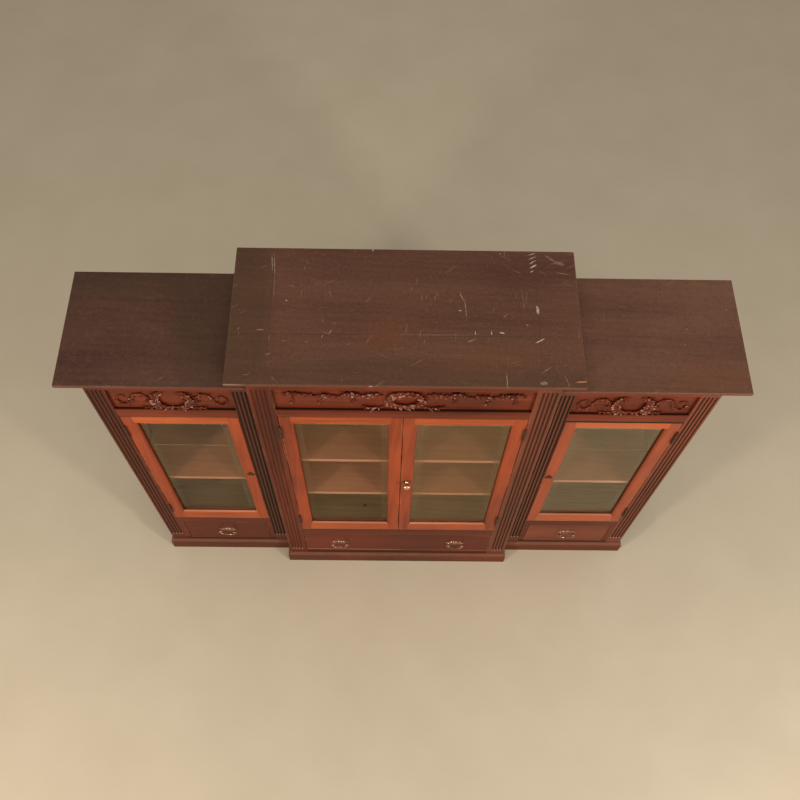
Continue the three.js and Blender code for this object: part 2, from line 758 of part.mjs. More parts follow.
function keyholePlate(name, side) {
  const radius = keyholePlateRadius * plateSpreadShare;
  const rim = Array.from({ length: plateSteps }, (_, i) => {
    const turn = i / plateSteps * 2 * Math.PI;
    const reach = radius * (1 + lobeShare * Math.sin(-3 * turn));
    return new THREE.Vector2(reach * Math.cos(turn), reach * Math.sin(turn));
  });
  const shape = new THREE.Shape(rim);
  for (const lobe of [0, 1, 2]) {
    const turn = Math.PI / 2 + lobe * 2 * Math.PI / 3;
    const reach = keyholePlateRadius * lobePlaceShare;
    shape.holes.push(circleHole(reach * Math.cos(turn), reach * Math.sin(turn),
      keyholePlateRadius * lobeHoleShare));
  }
  shape.holes.push(circleHole(0, 0, keyholePlateRadius * keyholeShare));
  const sheet = new THREE.ExtrudeGeometry(shape,
    { depth: keyholePlateThick, bevelEnabled: false, steps: 1, curveSegments: arcSteps + arcSteps });
  const x = side * (wingOpenInnerX + doorGap + keyholeInset);
  const plate = standUp(solidOf(sheet)).translate([x, wingFrontY, keyholeHeight]);
  return meshOf(name, plate, darkIron());
}

const pieces = [
  wingTop('top_left', -1), centreTop('top_centre'), wingTop('top_right', 1),
  sidePanel('side_left', -1), sidePanel('side_right', 1),
  partition('partition_left', -1), partition('partition_right', 1),
  plinth(),
  ...pilasters(-1), ...pilasters(1),
  ...bays.flatMap((bay) => [
    backPanel(bay), frieze(bay), drawerCase(bay), drawer(bay),
    shelf(bay, 'lower'), shelf(bay, 'upper'),
  ]),
  ...doors.flatMap((door) => [
    doorFrame(door), pane(door), fixedHinge(door, 'upper'), fixedHinge(door, 'lower'),
  ]),
  ...pulls.flatMap((pull) => [pullPlate(pull), bail(pull)]),
  knob(), knobRose(),
  keyholePlate('keyhole_plate_left', -1), keyholePlate('keyhole_plate_right', 1),
];

const bookcase = new THREE.Group();
bookcase.add(...pieces);

export default bookcase;
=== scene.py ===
from math import cos, exp, pi, radians, sin, sqrt
import bpy
import bmesh
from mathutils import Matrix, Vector
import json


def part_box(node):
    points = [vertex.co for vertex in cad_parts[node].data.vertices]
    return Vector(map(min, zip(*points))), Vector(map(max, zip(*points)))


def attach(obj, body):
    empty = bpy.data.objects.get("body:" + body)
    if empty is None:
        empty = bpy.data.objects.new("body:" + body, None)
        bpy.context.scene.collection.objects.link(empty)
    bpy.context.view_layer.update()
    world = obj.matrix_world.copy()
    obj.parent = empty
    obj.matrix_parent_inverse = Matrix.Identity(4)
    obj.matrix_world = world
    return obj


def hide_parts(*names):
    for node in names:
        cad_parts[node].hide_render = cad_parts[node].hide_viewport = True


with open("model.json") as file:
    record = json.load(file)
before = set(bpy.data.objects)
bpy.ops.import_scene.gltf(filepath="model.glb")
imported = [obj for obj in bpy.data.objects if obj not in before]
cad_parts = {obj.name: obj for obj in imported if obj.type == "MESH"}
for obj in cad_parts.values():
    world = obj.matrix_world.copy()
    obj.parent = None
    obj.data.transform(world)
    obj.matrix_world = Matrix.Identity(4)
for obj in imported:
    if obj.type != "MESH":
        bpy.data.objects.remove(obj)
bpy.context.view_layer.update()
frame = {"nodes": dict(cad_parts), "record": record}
bodyOf = {node: body for body, nodes in frame["record"]["behaviour"]["bodies"].items()
          for node in nodes}
mm = 0.001
print("frame loaded")


# Lengths are written in mm and used in metres
def metres(value):
    if isinstance(value, dict):
        return {name: metres(each) for name, each in value.items()}
    if isinstance(value, tuple):
        return tuple(metres(each) for each in value)
    return value * mm


def configured(thing, **settings):
    for key, value in settings.items():
        setattr(thing, key, value)


def linked(name, data):
    made = bpy.data.objects.new(name, data)
    bpy.context.scene.collection.objects.link(made)
    return made


def meshOf(name, points, edges, faces):
    mesh = bpy.data.meshes.new(name)
    mesh.from_pydata(points, edges, faces)
    return mesh


# Camera: a high place in front of the case, looking down at the tops
view = {"spot": (-0.04904, -1.40602, 3.85175), "turn": (27.452, -1.007, 0.219),
        "lens": 41.41, "film": 36.0}
camera = linked("photoCamera", bpy.data.cameras.new("photoCamera"))
configured(camera.data, lens=view["lens"], sensor_width=view["film"])
configured(camera, location=view["spot"], rotation_euler=[radians(a) for a in view["turn"]])
bpy.context.scene.camera = camera


# Shader building: sums on sockets, and one call for every other node
def operator(operation, swapped=False):
    def method(self, other):
        pair = (other, self) if swapped else (self, other)
        return self.graph.node("ShaderNodeMath", dict(enumerate(pair)), operation=operation)
    return method


class Value:
    __add__ = __radd__ = operator("ADD")
    __mul__ = __rmul__ = operator("MULTIPLY")
    __sub__ = operator("SUBTRACT")
    __rsub__ = operator("SUBTRACT", True)
    __truediv__ = operator("DIVIDE")
    least = operator("MINIMUM")
    most = operator("MAXIMUM")
    modulo = operator("MODULO")

    def __init__(self, graph, socket):
        self.graph = graph
        self.socket = socket

    def size(self):
        return self.graph.node("ShaderNodeMath", {0: self}, operation="ABSOLUTE")

    # 0 before start, 1 after end, smooth between; the two may be given either way round
    def rise(self, start, end):
        return self.graph.node("MapRange", {0: self, 1: start, 2: end},
                               interpolation_type="SMOOTHSTEP")


class Graph:
    def __init__(self, tree, family):
        self.tree = tree
        self.family = family

    # A kind that isn't of the tree's own family is given in full
    def node(self, kind, values=None, output=0, **settings):
        made = self.tree.nodes.new(kind if "Node" in kind else f"{self.family}Node{kind}")
        configured(made, **settings)
        for key, value in (values or {}).items():
            for each in value if isinstance(value, list) else [value]:
                if isinstance(each, Value):
                    self.tree.links.new(each.socket, made.inputs[key])
                else:
                    made.inputs[key].default_value = each
        return Value(self, made.outputs[output])


# Colours are given as they look on a screen
def tint(colour):
    shares = [c / 255 for c in colour]
    return (*[c / 12.92 if c <= 0.04045 else ((c + 0.055) / 1.055) ** 2.4 for c in shares], 1.0)


class Surface(Graph):
    def __init__(self, name):
        self.material = bpy.data.materials.new(name)
        self.material.use_nodes = True
        Graph.__init__(self, self.material.node_tree, "Shader")
        self.tree.nodes.clear()
        self.spot = self.node("TexCoord", output="Object")
        apart = self.node("SeparateXYZ", {0: self.spot})
        self.x, self.y, self.z = (Value(self, each) for each in apart.socket.node.outputs)

    def mix(self, factor, first, second):
        first, second = (tint(c) if isinstance(c, tuple) else c for c in (first, second))
        return self.node("Mix", {0: factor, 6: first, 7: second}, 2, data_type="RGBA")

    def noise(self, scale, detail=2.0, roughness=0.5, distortion=0.0, spot=None):
        return self.node("TexNoise", {
            "Vector": spot or self.spot, "Scale": scale, "Detail": detail,
            "Roughness": roughness, "Distortion": distortion})

    def placed(self, spot, place=(0, 0, 0), turn=(0, 0, 0), scale=(1, 1, 1)):
        return self.node("Mapping", {
            "Vector": spot, "Location": place, "Rotation": turn, "Scale": scale})

    # fixed holds shader values that are the same all over
    def finish(self, colour, roughness, relief=None, depth=0.0, fixed=None):
        values = {"Base Color": colour, "Roughness": roughness, **(fixed or {})}
        if relief is not None:
            values["Normal"] = self.node("Bump", {
                "Strength": 1.0, "Distance": depth, "Height": relief})
        shader = self.node("BsdfPrincipled", values)
        out = self.tree.nodes.new("ShaderNodeOutputMaterial")
        self.tree.links.new(shader.socket, out.inputs["Surface"])
        return self.material


# A wood's figure in three tones, its worn arrises, its dust and its roughness
def woodLook(dark, mid, light, worn, dust, gloss):
    return {"dark": dark, "mid": mid, "light": light, "worn": worn, "dust": dust, "gloss": gloss}


caseLook = woodLook((58, 17, 6), (86, 28, 9), (110, 41, 15), (158, 92, 60), (104, 66, 44), 0.46)
friezeLook = {**caseLook, "dark": (56, 16, 6), "mid": (100, 35, 14), "light": (126, 50, 21)}
boxLook = woodLook((112, 82, 52), (158, 124, 84), (184, 152, 110), (196, 168, 128),
                   (140, 122, 98), 0.62)

# Wood: ribbon figure, growth lines, fibres and open pores along the grain
woodGrain = {"ribbonScale": 9.0, "lineScale": 26.0, "fibreScale": 420.0, "poreScale": 900.0,
             "stretch": 0.06, "poreStretch": 0.035, "wear": 0.55, "relief": 0.12 * mm,
             "turns": {"x": (0, 0, 0), "y": (0, 0, -pi / 2), "z": (0, pi / 2, 0)}}


# How near a point is to an arris of a box: the middle one of its three distances to the faces
def nearArris(s, low, high, reach):
    a, b, c = ((place - low[axis]).size().least((place - high[axis]).size())
               for axis, place in enumerate((s.x, s.y, s.z)))
    middle = a.least(b).most(a.most(b).least(c))
    rough = s.noise(38.0, 4.0, 0.7)
    where = s.noise(5.0, 3.0, 0.6).rise(0.48, 0.62)
    return (middle / reach + (rough - 0.5) * 3.2).rise(1.0, 0.0) * where


# The box, where one is given, is its low and high corner and how far the wear reaches in
def woodFinish(name, look, grain, seed, *layers, box=None):
    s = Surface(name)
    turned = s.placed(s.spot, (seed * 1.37, seed * 0.71, seed * 0.53), woodGrain["turns"][grain])
    along = s.placed(turned, scale=(woodGrain["stretch"], 1, 1))
    fine = s.placed(turned, scale=(woodGrain["poreStretch"], 1, 1))
    ribbon = s.noise(woodGrain["ribbonScale"], 3.0, 0.55, 0.6, along)
    lines = s.node("TexWave", {
        "Vector": along, "Scale": woodGrain["lineScale"], "Distortion": 9.0, "Detail": 3.0,
        "Detail Scale": 1.6, "Detail Roughness": 0.6}, "Fac", bands_direction="DIAGONAL")
    fibre = s.noise(woodGrain["fibreScale"], 2.0, 0.6, spot=fine)
    pore = s.noise(woodGrain["poreScale"], 1.0, spot=fine).rise(0.6, 0.72)
    cloud = s.noise(2.6, spot=turned)
    tone = ribbon * 0.9 + lines * 0.1 + (fibre - 0.5) * 0.25 + (cloud - 0.5) * 0.7 - 0.05
    figure = s.node("ValToRGB", {0: tone})
    ramp = figure.socket.node.color_ramp.elements
    ramp.new(1.0)
    for stop, place, shade in zip(ramp, (0.18, 0.5, 0.82), ("dark", "mid", "light")):
        stop.position = place
        stop.color = tint(look[shade])
    colour = s.mix(pore * 0.55, figure, look["dark"])
    gloss = fibre * 0.16 + (look["gloss"] - 0.08)
    if box:
        worn = nearArris(s, *box) * woodGrain["wear"]
        colour = s.mix(worn, colour, look["worn"])
        gloss = gloss + worn * 0.12
    scuff = s.noise(14.0, 5.0, 0.75).rise(0.6, 0.78)
    colour = s.mix(scuff * 0.22, colour, look["dust"])
    gloss = gloss + scuff * 0.15
    for layer in layers:
        colour, gloss = layer(s, colour, gloss)
    return s.finish(colour, gloss, fibre * 0.35 - pore * 0.8, woodGrain["relief"], {
        "Specular IOR Level": 0.24, "Specular Tint": (1.0, 0.77, 0.56, 1.0)})


# A layer over the wood: a tone where the mask is high, duller there by the last number
def stain(mask, tone, strength=1.0, dull=0.0):
    def layer(s, colour, gloss):
        here = mask(s)
        return s.mix(here * strength, colour, tone), gloss + here * dull if dull else gloss
    return layer


# Meshes: closed parts gathered in one piece, each part with its finish number
class Shape:
    def __init__(self):
        self.points = []
        self.faces = []
        self.finishes = []

    # Rings joined in turn; each end is one flat face, or a fan where it has a tip
    def loft(self, rings, finish=0, tips=(None, None)):
        count = len(rings[0])
        points = [Vector(p) for ring in rings for p in ring]
        last = len(points) - count
        faces = [(a + j, a + (j + 1) % count, a + count + (j + 1) % count, a + count + j)
                 for a in range(0, last, count) for j in range(count)]
        for base, tip, way in ((0, tips[0], -1), (last, tips[1], 1)):
            if tip is None:
                faces.append(tuple(range(base, base + count))[::way])
                continue
            points.append(tip)
            faces += [(base + j, base + (j + 1) % count, len(points) - 1)[::way]
                      for j in range(count)]
        volume = 0.0
        for face in faces:
            a = points[face[0]]
            for b, c in zip(face[1:], face[2:]):
                volume += a.dot(points[b].cross(points[c]))
        start = len(self.points)
        self.points += points
        self.faces += [tuple(start + k for k in face[::-1 if volume < 0 else 1])
                       for face in faces]
        self.finishes += [finish] * len(faces)
        return self

    def box(self, xs, ys, zs, finish=0):
        rings = [[(xs[0], ys[0], z), (xs[1], ys[0], z), (xs[1], ys[1], z), (xs[0], ys[1], z)]
                 for z in zs]
        return self.loft(rings, finish)

    # Pairs of radius and height, turned about an axis from a spot; an end at radius 0 is a tip
    def turned(self, outline, spot=(0, 0, 0), axis=(0, 0, 1), sides=24):
        turn = Vector((0, 0, 1)).rotation_difference(Vector(axis)).to_matrix()
        spot = Vector(spot)
        rings = [[spot + turn @ Vector((r * cos(a), r * sin(a), h))
                  for a in wholeTurn(sides)] for r, h in outline if r > 0]
        return self.loft(rings, 0, [None if r > 0 else spot + turn @ Vector((0, 0, h))
                                    for r, h in (outline[0], outline[-1])])


def wholeTurn(steps):
    return [2 * pi * k / steps for k in range(steps)]


def arc(centre, radii, start, end, steps=10):
    turns = [radians(start + (end - start) * k / steps) for k in range(steps + 1)]
    return [(centre[0] + radii[0] * cos(a), centre[1] + radii[1] * sin(a))
            for a in turns]


# A smooth line through given spots
def smoothLine(spots, each=8, closed=False):
    spots = [Vector(p) for p in spots]
    count = len(spots)
    line = []
    for i in range(count if closed else count - 1):
        b, c = spots[i], spots[(i + 1) % count]
        a = spots[i - 1] if i or closed else b * 2 - c
        d = spots[(i + 2) % count] if closed or i + 2 < count else c * 2 - b
        for t in (k / each for k in range(each)):
            line.append(0.5 * (2 * b + (c - a) * t + (2 * a - 5 * b + 4 * c - d) * t * t
                               + (3 * b - a - 3 * c + d) * t ** 3))
    return line if closed else line + [spots[-1]]


# The evaluated shape as a plain mesh, with its modifiers gone
def settled(piece):
    scene = bpy.context.evaluated_depsgraph_get()
    mesh = bpy.data.meshes.new_from_object(piece.evaluated_get(scene),
                                           preserve_all_data_layers=True, depsgraph=scene)
    piece.modifiers.clear()
    piece.data = mesh
    mesh.name = piece.name


def creased(mesh, angle):
    mesh.shade_smooth()
    mesh.set_sharp_from_angle(angle=radians(angle))


# Each piece stands for a CAD node and moves with that node's body
def makePiece(name, shape, finishes, node, ease=0.0, crease=38, cuts=()):
    mesh = meshOf(name, shape.points, [], shape.faces)
    for finish in finishes:
        mesh.materials.append(finish)
    mesh.polygons.foreach_set("material_index", shape.finishes)
    mesh.shade_smooth()
    piece = linked(name, mesh)
    for cutter in cuts:
        configured(piece.modifiers.new("cut", "BOOLEAN"), object=cutter,
                   operation="DIFFERENCE", solver="EXACT")
    if ease:
        configured(piece.modifiers.new("ease", "BEVEL"), width=ease, segments=2,
                   limit_method="ANGLE", angle_limit=radians(crease), harden_normals=True)
    if ease or cuts:
        settled(piece)
    if not ease:
        creased(piece.data, crease)
    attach(piece, bodyOf[node])
    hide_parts(node)


# A CAD node's own form, with its triangles joined into flat faces
def nodeShape(node, finishAt=lambda centre, normal: 0):
    work = bmesh.new()
    work.from_mesh(frame["nodes"][node].data)
    bmesh.ops.remove_doubles(work, verts=work.verts, dist=0.001 * mm)
    bmesh.ops.dissolve_limit(work, angle_limit=radians(0.5), verts=work.verts,
                             edges=work.edges)
    shape = Shape()
    shape.points = [v.co.copy() for v in work.verts]
    shape.faces = [tuple(v.index for v in face.verts) for face in work.faces]
    shape.finishes = [finishAt(face.calc_center_median(), face.normal) for face in work.faces]
    work.free()
    return shape


def camel(name):
    first, *others = name.split("_")
    return first + "".join(word.title() for word in others)


sides = {"left": -1, "right": 1}
bays = ("left", "centre", "right")
case = metres({"wingFront": -122.5, "centreFront": -177.5, "back": 227.5, "halfWidth": 953,
               "centreHalf": 450, "openOuter": 892, "openInner": 516, "openCentre": 379.5})
wing, tall = case["wingFront"], case["centreFront"]
wide, half, rear = case["halfWidth"], case["centreHalf"], case["back"]

# Tops: each one's figure, the path of its bed moulding, its free ends, scratches and seed; the
# figures run darker on the left top and lighter on the right: painted light
tops = metres({"thick": 20, "upperRound": 3, "underRound": 12, "cornerRound": 2.5,
               "squareRound": 0.2, "bedHeight": 22, "bedReach": 20, "bedFillet": 3, "wear": 4.5})
topPlans = {
    "left": {"figure": ((73, 45, 37), (88, 58, 47), (98, 66, 53)), "scratches": 0.1,
             "path": [(-wide, rear), (-wide, wing), (-half, wing)], "free": (1, 0), "seed": 1.3},
    "right": {"figure": ((94, 61, 47), (111, 75, 58), (121, 84, 66)), "scratches": 0.25,
              "path": [(half, wing), (wide, wing), (wide, rear)], "free": (0, 1), "seed": 7.7},
    "centre": {"figure": ((86, 53, 41), (101, 66, 50), (111, 73, 56)), "scratches": 0.5,
               "path": [(-half, rear), (-half, tall), (half, tall), (half, rear)],
               "free": (1, 1), "seed": 4.1}}


def slabRing(low, high, back, z, free):
    x0, x1 = low.x + back * free[0], high.x - back * free[1]
    ring = []
    for x, hand, turn, rounded in ((x0, 1, 180, free[0]), (x1, -1, 270, free[1])):
        r = tops["cornerRound" if rounded else "squareRound"]
        ring += [(a, b, z) for a, b in arc((x + hand * r, low.y + back + r), (r, r),
                                           turn, turn + 90, 4)]
    return ring + [(x1, high.y, z), (x0, high.y, z)]


def mouldingRings(outline, path):
    spots = [Vector(p) for p in path]
    ways = [(b - a).normalized() for a, b in zip(spots, spots[1:])]
    outward = [Vector((way.y, -way.x)) for way in ways]
    rings = []
    for i, spot in enumerate(spots):
        before, after = outward[max(i - 1, 0)], outward[min(i, len(outward) - 1)]
        mitre = (before + after) / (1 + before.dot(after))
        rings.append([(spot.x + mitre.x * reach, spot.y + mitre.y * reach, z)
                      for reach, z in outline])
    return rings


def topShape(low, high, path, free):
    under = high.z - tops["thick"]
    r, upper, reach, fillet = (tops[key] for key in ("underRound", "upperRound", "bedReach",
                                                     "bedFillet"))
    edge = (arc((r, under + r), (r, r), -90, -180, 12)
            + arc((upper, high.z - upper), (upper, upper), 180, 90, 6))
    foot = under - tops["bedHeight"]
    cove = arc((reach, foot), (reach - fillet, tops["bedHeight"] - fillet), 90, 180, 12)
    outline = [(0, under), (reach, under), *cove, (0, foot)]
    shape = Shape().loft([slabRing(low, high, back, z, free) for back, z in edge])
    return shape.loft(mouldingRings(outline, path), 1)


# Marks of use on the tops: x, y, half length and half width in mm, turn, strength
topMarks = {"centre": {
    "pale": [(160, 65, 20, 1.3, 110, 0.8), (170, 25, 35, 1.3, 93, 0.8),
        (90, 75, 12, 1, 120, 0.6), (425, 200, 24, 3.5, 140, 0.4), (440, 186, 20, 2, 8, 0.5),
        (455, 150, 24, 1.3, 170, 0.6), (335, 55, 45, 1, 95, 0.35), (35, -150, 26, 1, 30, 0.6),
        (385, -172, 18, 1.5, 36, 0.7), (440, -204, 20, 1.2, 110, 0.6),
        (50, -64, 170, 1.1, 1, 0.45), (-376, 100, 60, 1.1, 92, 0.4),
        (-360, -206, 10, 1.7, 120, 0.4), (-200, -28, 8, 1, 160, 0.6),
        (-215, 70, 14, 1, 115, 0.5), (-488, 95, 9, 1.2, 10, 0.6), (-488, 22, 7, 1.2, 20, 0.6),
        (-494, -128, 7, 1.2, 80, 0.6), (-285, 177, 8, 1, 130, 0.5),
        (-325, 95, 10, 1, 160, 0.4), (-105, 52, 12, 1, 40, 0.5), (-336, -88, 6, 1.2, 0, 0.5),
        (-275, -91, 4, 1.2, 0, 0.5), (-378, -131, 7, 3.5, 30, 0.5),
        (-173, -208, 7, 1, 95, 0.5), (-436, -196, 9, 1.8, 0, 0.4), (125, 52, 6, 1.1, 110, 0.6),
        (281, 2, 9, 1.5, 40, 0.5), (183, -80, 14, 3, 20, 0.5), (147, -128, 8, 1.2, 0, 0.4),
        (52, -85, 7, 1, 90, 0.4), (448, 186, 17, 7, 160, 0.35)],
    "white": [(154, 18, 4, 1.8, 0, 1), (370, 218, 13, 1.3, 20, 0.7),
        (370, 204, 13, 1.3, 24, 0.7), (370, 189, 13, 1.4, 32, 0.8),
        (371, 174, 12, 2.3, 33, 0.95), (366, 156, 6, 1.7, 34, 0.8),
        (374, 23, 15, 4.5, 93, 0.7), (195, -55, 6, 1.3, 90, 0.9), (240, -54, 7, 1.4, 90, 0.9),
        (270, -54, 7, 2.3, 172, 1), (375, -78, 15, 2, 30, 0.9), (376, -213, 11, 6, 0, 0.45),
        (276, 218, 2, 1.3, 0, 0.9), (276, -205, 25, 1.3, 90, 0.5), (-387, 176, 34, 1, 95, 0.7),
        (-380, 172, 38, 1, 95, 0.6), (-96, 224, 5, 1.1, 95, 0.9), (-94, -227, 6, 0.8, 0, 0.7),
        (-338, 45, 3, 1.8, 0, 0.6), (-210, -58, 8, 1, 60, 0.5), (-232, -72, 7, 1, 70, 0.4),
        (-466, -50, 5, 1, 60, 0.6), (-464, -66, 4, 1, 100, 0.6), (-480, -227, 45, 1, 0, 0.4),
        (342, -27, 3, 1.5, 30, 0.6)],
    "tan": [(480, -207, 18, 2.6, 4, 0.9), (-405, -53, 11, 2.7, 0, 0.75),
        (-220, -62, 18, 0.8, 160, 0.4), (-102, -80, 17, 0.8, 60, 0.55)],
    "dark": [(-40, -66, 520, 0.7, 0, 0.8), (-382, 0, 290, 0.7, 90, 0.45),
        (375, 0, 290, 0.7, 90, 0.4)],
    "olive": [(-500, 0, 130, 500, 0, 0.45), (20, -215, 520, 80, 0, 0.3)],
    "warm": [(-50, -60, 110, 70, 5, 0.3), (200, -150, 220, 60, 5, 0.2)]},
    "right": {
        "white": [(828, -6, 2.4, 1.3, 117, 0.8), (842, 49, 2, 1.2, 117, 0.7),
                  (970, 119, 2.4, 1.2, 117, 0.8), (814, -91, 2, 1.2, 117, 0.6)],
        "warm": [(900, -120, 160, 90, 0, 0.2)], "dark": [(780, 20, 300, 0.6, 0, 0.3)]},
    "left": {
        "dark": [(-760, -30, 300, 0.6, 0, 0.3)], "pale": [(-700, -140, 14, 1, 40, 0.35)],
        "olive": [(-560, 60, 140, 260, 0, 0.3), (-740, 215, 420, 90, 0, 0.3)]}}
markTones = {"pale": (190, 150, 124), "white": (238, 214, 192), "tan": (222, 138, 104),
             "dark": (36, 22, 14), "olive": (62, 50, 34), "warm": (122, 66, 42)}
# Where a mark's edge starts and ends, as shares of its size
markEdges = {"olive": (1.1, 0.75), "warm": (1.1, 0.2)}


def markLayer(marks):
    def layer(s, colour, gloss):
        ragged = s.node("TexNoise", {"Vector": s.spot, "Scale": 260.0}, "Color")
        spot = s.node("VectorMath", {0: ragged, 1: (2.2 * mm, 2.2 * mm, 0), 2: s.spot},
                      operation="MULTIPLY_ADD")
        spot = s.placed(spot, (-1.1 * mm, -1.1 * mm, 0))
        streaked = s.placed(s.spot, turn=(0, 0, 0.7), scale=(1, 0.4, 1))
        broken = s.noise(420.0, 2.0, 0.6, spot=streaked).rise(0.36, 0.56) * 0.75 + 0.25
        for tone, places in marks.items():
            shade = 0.0
            outer, inner = markEdges.get(tone, (1.15, 0.55))
            for x, y, long, broad, turn, strength in places:
                near = s.node("Mapping", {
                    "Vector": spot, "Location": (x * mm, y * mm, 0),
                    "Rotation": (0, 0, radians(turn)),
                    "Scale": (long * mm, broad * mm, 1000.0)}, vector_type="TEXTURE")
                far = s.node("VectorMath", {0: near}, "Value", operation="LENGTH")
                shade = s.node("MapRange", {0: far, 1: outer, 2: inner, 4: strength}).most(shade)
            if tone in ("white", "pale"):
                shade = shade * broken
            colour = s.mix(shade, colour, markTones[tone])
            gloss = gloss + shade * 0.12
        return colour, gloss
    return layer


# Fine scratches all over: thin bands of stretched noise, each way in turn
def scratchLayer(strength):
    def layer(s, colour, gloss):
        for turn, shift in ((28, 0.3), (96, 1.7), (151, 2.9)):
            turned = s.placed(s.spot, (shift, shift, 0), (0, 0, radians(turn)))
            drawn = s.placed(turned, scale=(0.08, 1, 1))
            thin = s.noise(210.0, 0.0, spot=drawn).rise(0.76, 0.8)
            here = s.noise(9.0, spot=turned).rise(0.54, 0.64)
            colour = s.mix(thin * here * strength, colour, (160, 118, 90))
        mottle = s.noise(95.0, 3.0, 0.7)
        colour = s.mix(mottle.rise(0.5, 0.72) * 0.16, colour, (134, 98, 76))
        colour = s.mix(mottle.rise(0.48, 0.3) * 0.26, colour, (58, 34, 26))
        speck = s.noise(330.0, 0.0).rise(0.81, 0.84)
        return s.mix(speck * (strength + 0.1), colour, (190, 164, 134)), gloss
    return layer


bedWood = woodFinish("bedMouldingWood", caseLook, "x", 3.0)
for bay, plan in topPlans.items():
    node = f"top_{bay}"
    low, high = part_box(node)
    # The edges under the tops' worn arrises keep the case's redder colour
    edgeTone = stain(lambda s: s.z.rise(high.z - 1.5 * mm, high.z - 4 * mm), (98, 42, 26), 0.85)
    wood = woodFinish(f"{bay}TopWood", woodLook(*plan["figure"], (118, 80, 58), (122, 94, 76), 0.5),
                      "x", plan["seed"], scratchLayer(plan["scratches"]),
                      markLayer(topMarks[bay]), edgeTone, box=(low, high, tops["wear"]))
    makePiece(f"{bay}TopBoard", topShape(low, high, plan["path"], plan["free"]),
              [wood, bedWood], node)

# Plinth: its cap is rubbed pale by shoes and brooms, and floor dirt dulls it below
plinth = metres({"reach": 11, "height": 82, "capHeight": 18, "quirk": 0.5})
capFoot = plinth["height"] - plinth["capHeight"]
cap = arc((0, capFoot), (plinth["reach"] - plinth["quirk"], plinth["capHeight"]), 0, 90, 12)
outline = [(0, 0), (plinth["reach"], 0), (plinth["reach"], capFoot), *cap[:-1],
           (0, plinth["height"])]
rightPath = [(wide, rear), (wide, wing), (half, wing), (half, tall)]
path = [(-x, y) for x, y in rightPath] + rightPath[::-1]
plinthWood = woodFinish(
    "plinthWood", caseLook, "x", 9.2,
    stain(lambda s: s.z.rise(capFoot - 1 * mm, capFoot + 4 * mm)
          * (s.noise(22.0, 4.0, 0.7) * 0.6 + 0.3), (126, 90, 73), 0.66, 0.14),
    stain(lambda s: s.z.rise(capFoot, capFoot / 2), (58, 42, 24), 0.3, 0.08))
makePiece("plinthMoulding", Shape().loft(mouldingRings(outline, path)), [plinthWood], "plinth")

# Side panels, partitions, backs, shelves: the CAD's own forms with eased arrises
eases = metres({"board": 0.8, "shelf": 1.2, "plate": 0.5})
boardLook = woodLook((138, 86, 56), (162, 104, 70), (176, 118, 82), (204, 152, 108),
                     (148, 128, 100), 0.55)
edgeLook = {**boardLook, "dark": (124, 76, 52), "mid": (168, 115, 84), "light": (184, 134, 102)}
# The right bay's shelf edges get a paler copy of the edge wood: a painted highlight
rightLitEdgeLook = {**boardLook, "dark": (196, 130, 98), "mid": (228, 166, 132),
                 "light": (238, 184, 152)}
backLook = woodLook((86, 71, 46), (102, 86, 57), (116, 99, 68), (140, 122, 92),
                    (130, 118, 96), 0.65)
sideWood = woodFinish("sidePanelWood", caseLook, "z", 5.5)
backWood = woodFinish("backBoardWood", backLook, "z", 2.2)
shelfWood = woodFinish("shelfWood", boardLook, "x", 6.4)
shelfEdgeWood = woodFinish("shelfEdgeWood", edgeLook, "x", 2.7)
rightLitEdgeWood = woodFinish("rightShelfEdgeWood", rightLitEdgeLook, "x", 2.7)
for side in sides:
    for title, node in (("SidePanel", f"side_{side}"), ("Partition", f"partition_{side}")):
        makePiece(side + title, nodeShape(node), [sideWood], node, ease=eases["board"])

# Glass: a mirror sheen by angle over a clear plate, thin dust, and what each place adds
glass = {"sheen": 0.1, "dust": 0.01, "bevelSheen": 0.03, "headSheen": 0.3, "arrisSheen": 0.13,
         **metres({"bevel": 26, "arris": 1.6})}
glassTints = {"clear": ((208, 188, 146), (222, 202, 160)),
              "cool": ((204, 194, 168), (218, 208, 182)),
              "edge": ((150, 168, 128), (184, 196, 158))}


def glassFinish(name, tints, added):
    s = Surface(name)
    dust = s.noise(7.0, 5.0, 0.7)
    sheen = s.node("Fresnel", {"IOR": 1.45})
    alpha = sheen * glass["sheen"] + dust.rise(0.5, 0.8) * glass["dust"] + added(s)
    return s.finish(s.mix(dust, *glassTints[tints]), dust * 0.08 + 0.03,
                    fixed={"Metallic": 1.0, "Alpha": alpha})


plateGlass = glassFinish("shelfPlateGlass", "clear", lambda s: 0.02)
plateEdgeGlass = glassFinish("shelfPlateEdgeGlass", "edge",
                             lambda s: s.noise(9.0).rise(0.35, 0.6) * 0.4 + 0.12)
for bay in bays:
    makePiece(f"{bay}Back", nodeShape(f"back_{bay}"), [backWood], f"back_{bay}",
              eases["board"])
    for level in ("lower", "upper"):
        node = f"shelf_{bay}_{level}"
        shape = nodeShape(node, lambda spot, way: 1 if way.y < -0.9 else 0)
        name = f"{bay}{level.title()}Shelf"
        if level == "upper" and bay != "centre":
            makePiece(name, shape, [plateGlass, plateEdgeGlass], node,
                      eases["plate"])
        else:
            edge = rightLitEdgeWood if bay == "right" else shelfEdgeWood
            makePiece(name, shape, [shelfWood, edge], node, eases["shelf"])
print("case boards made")
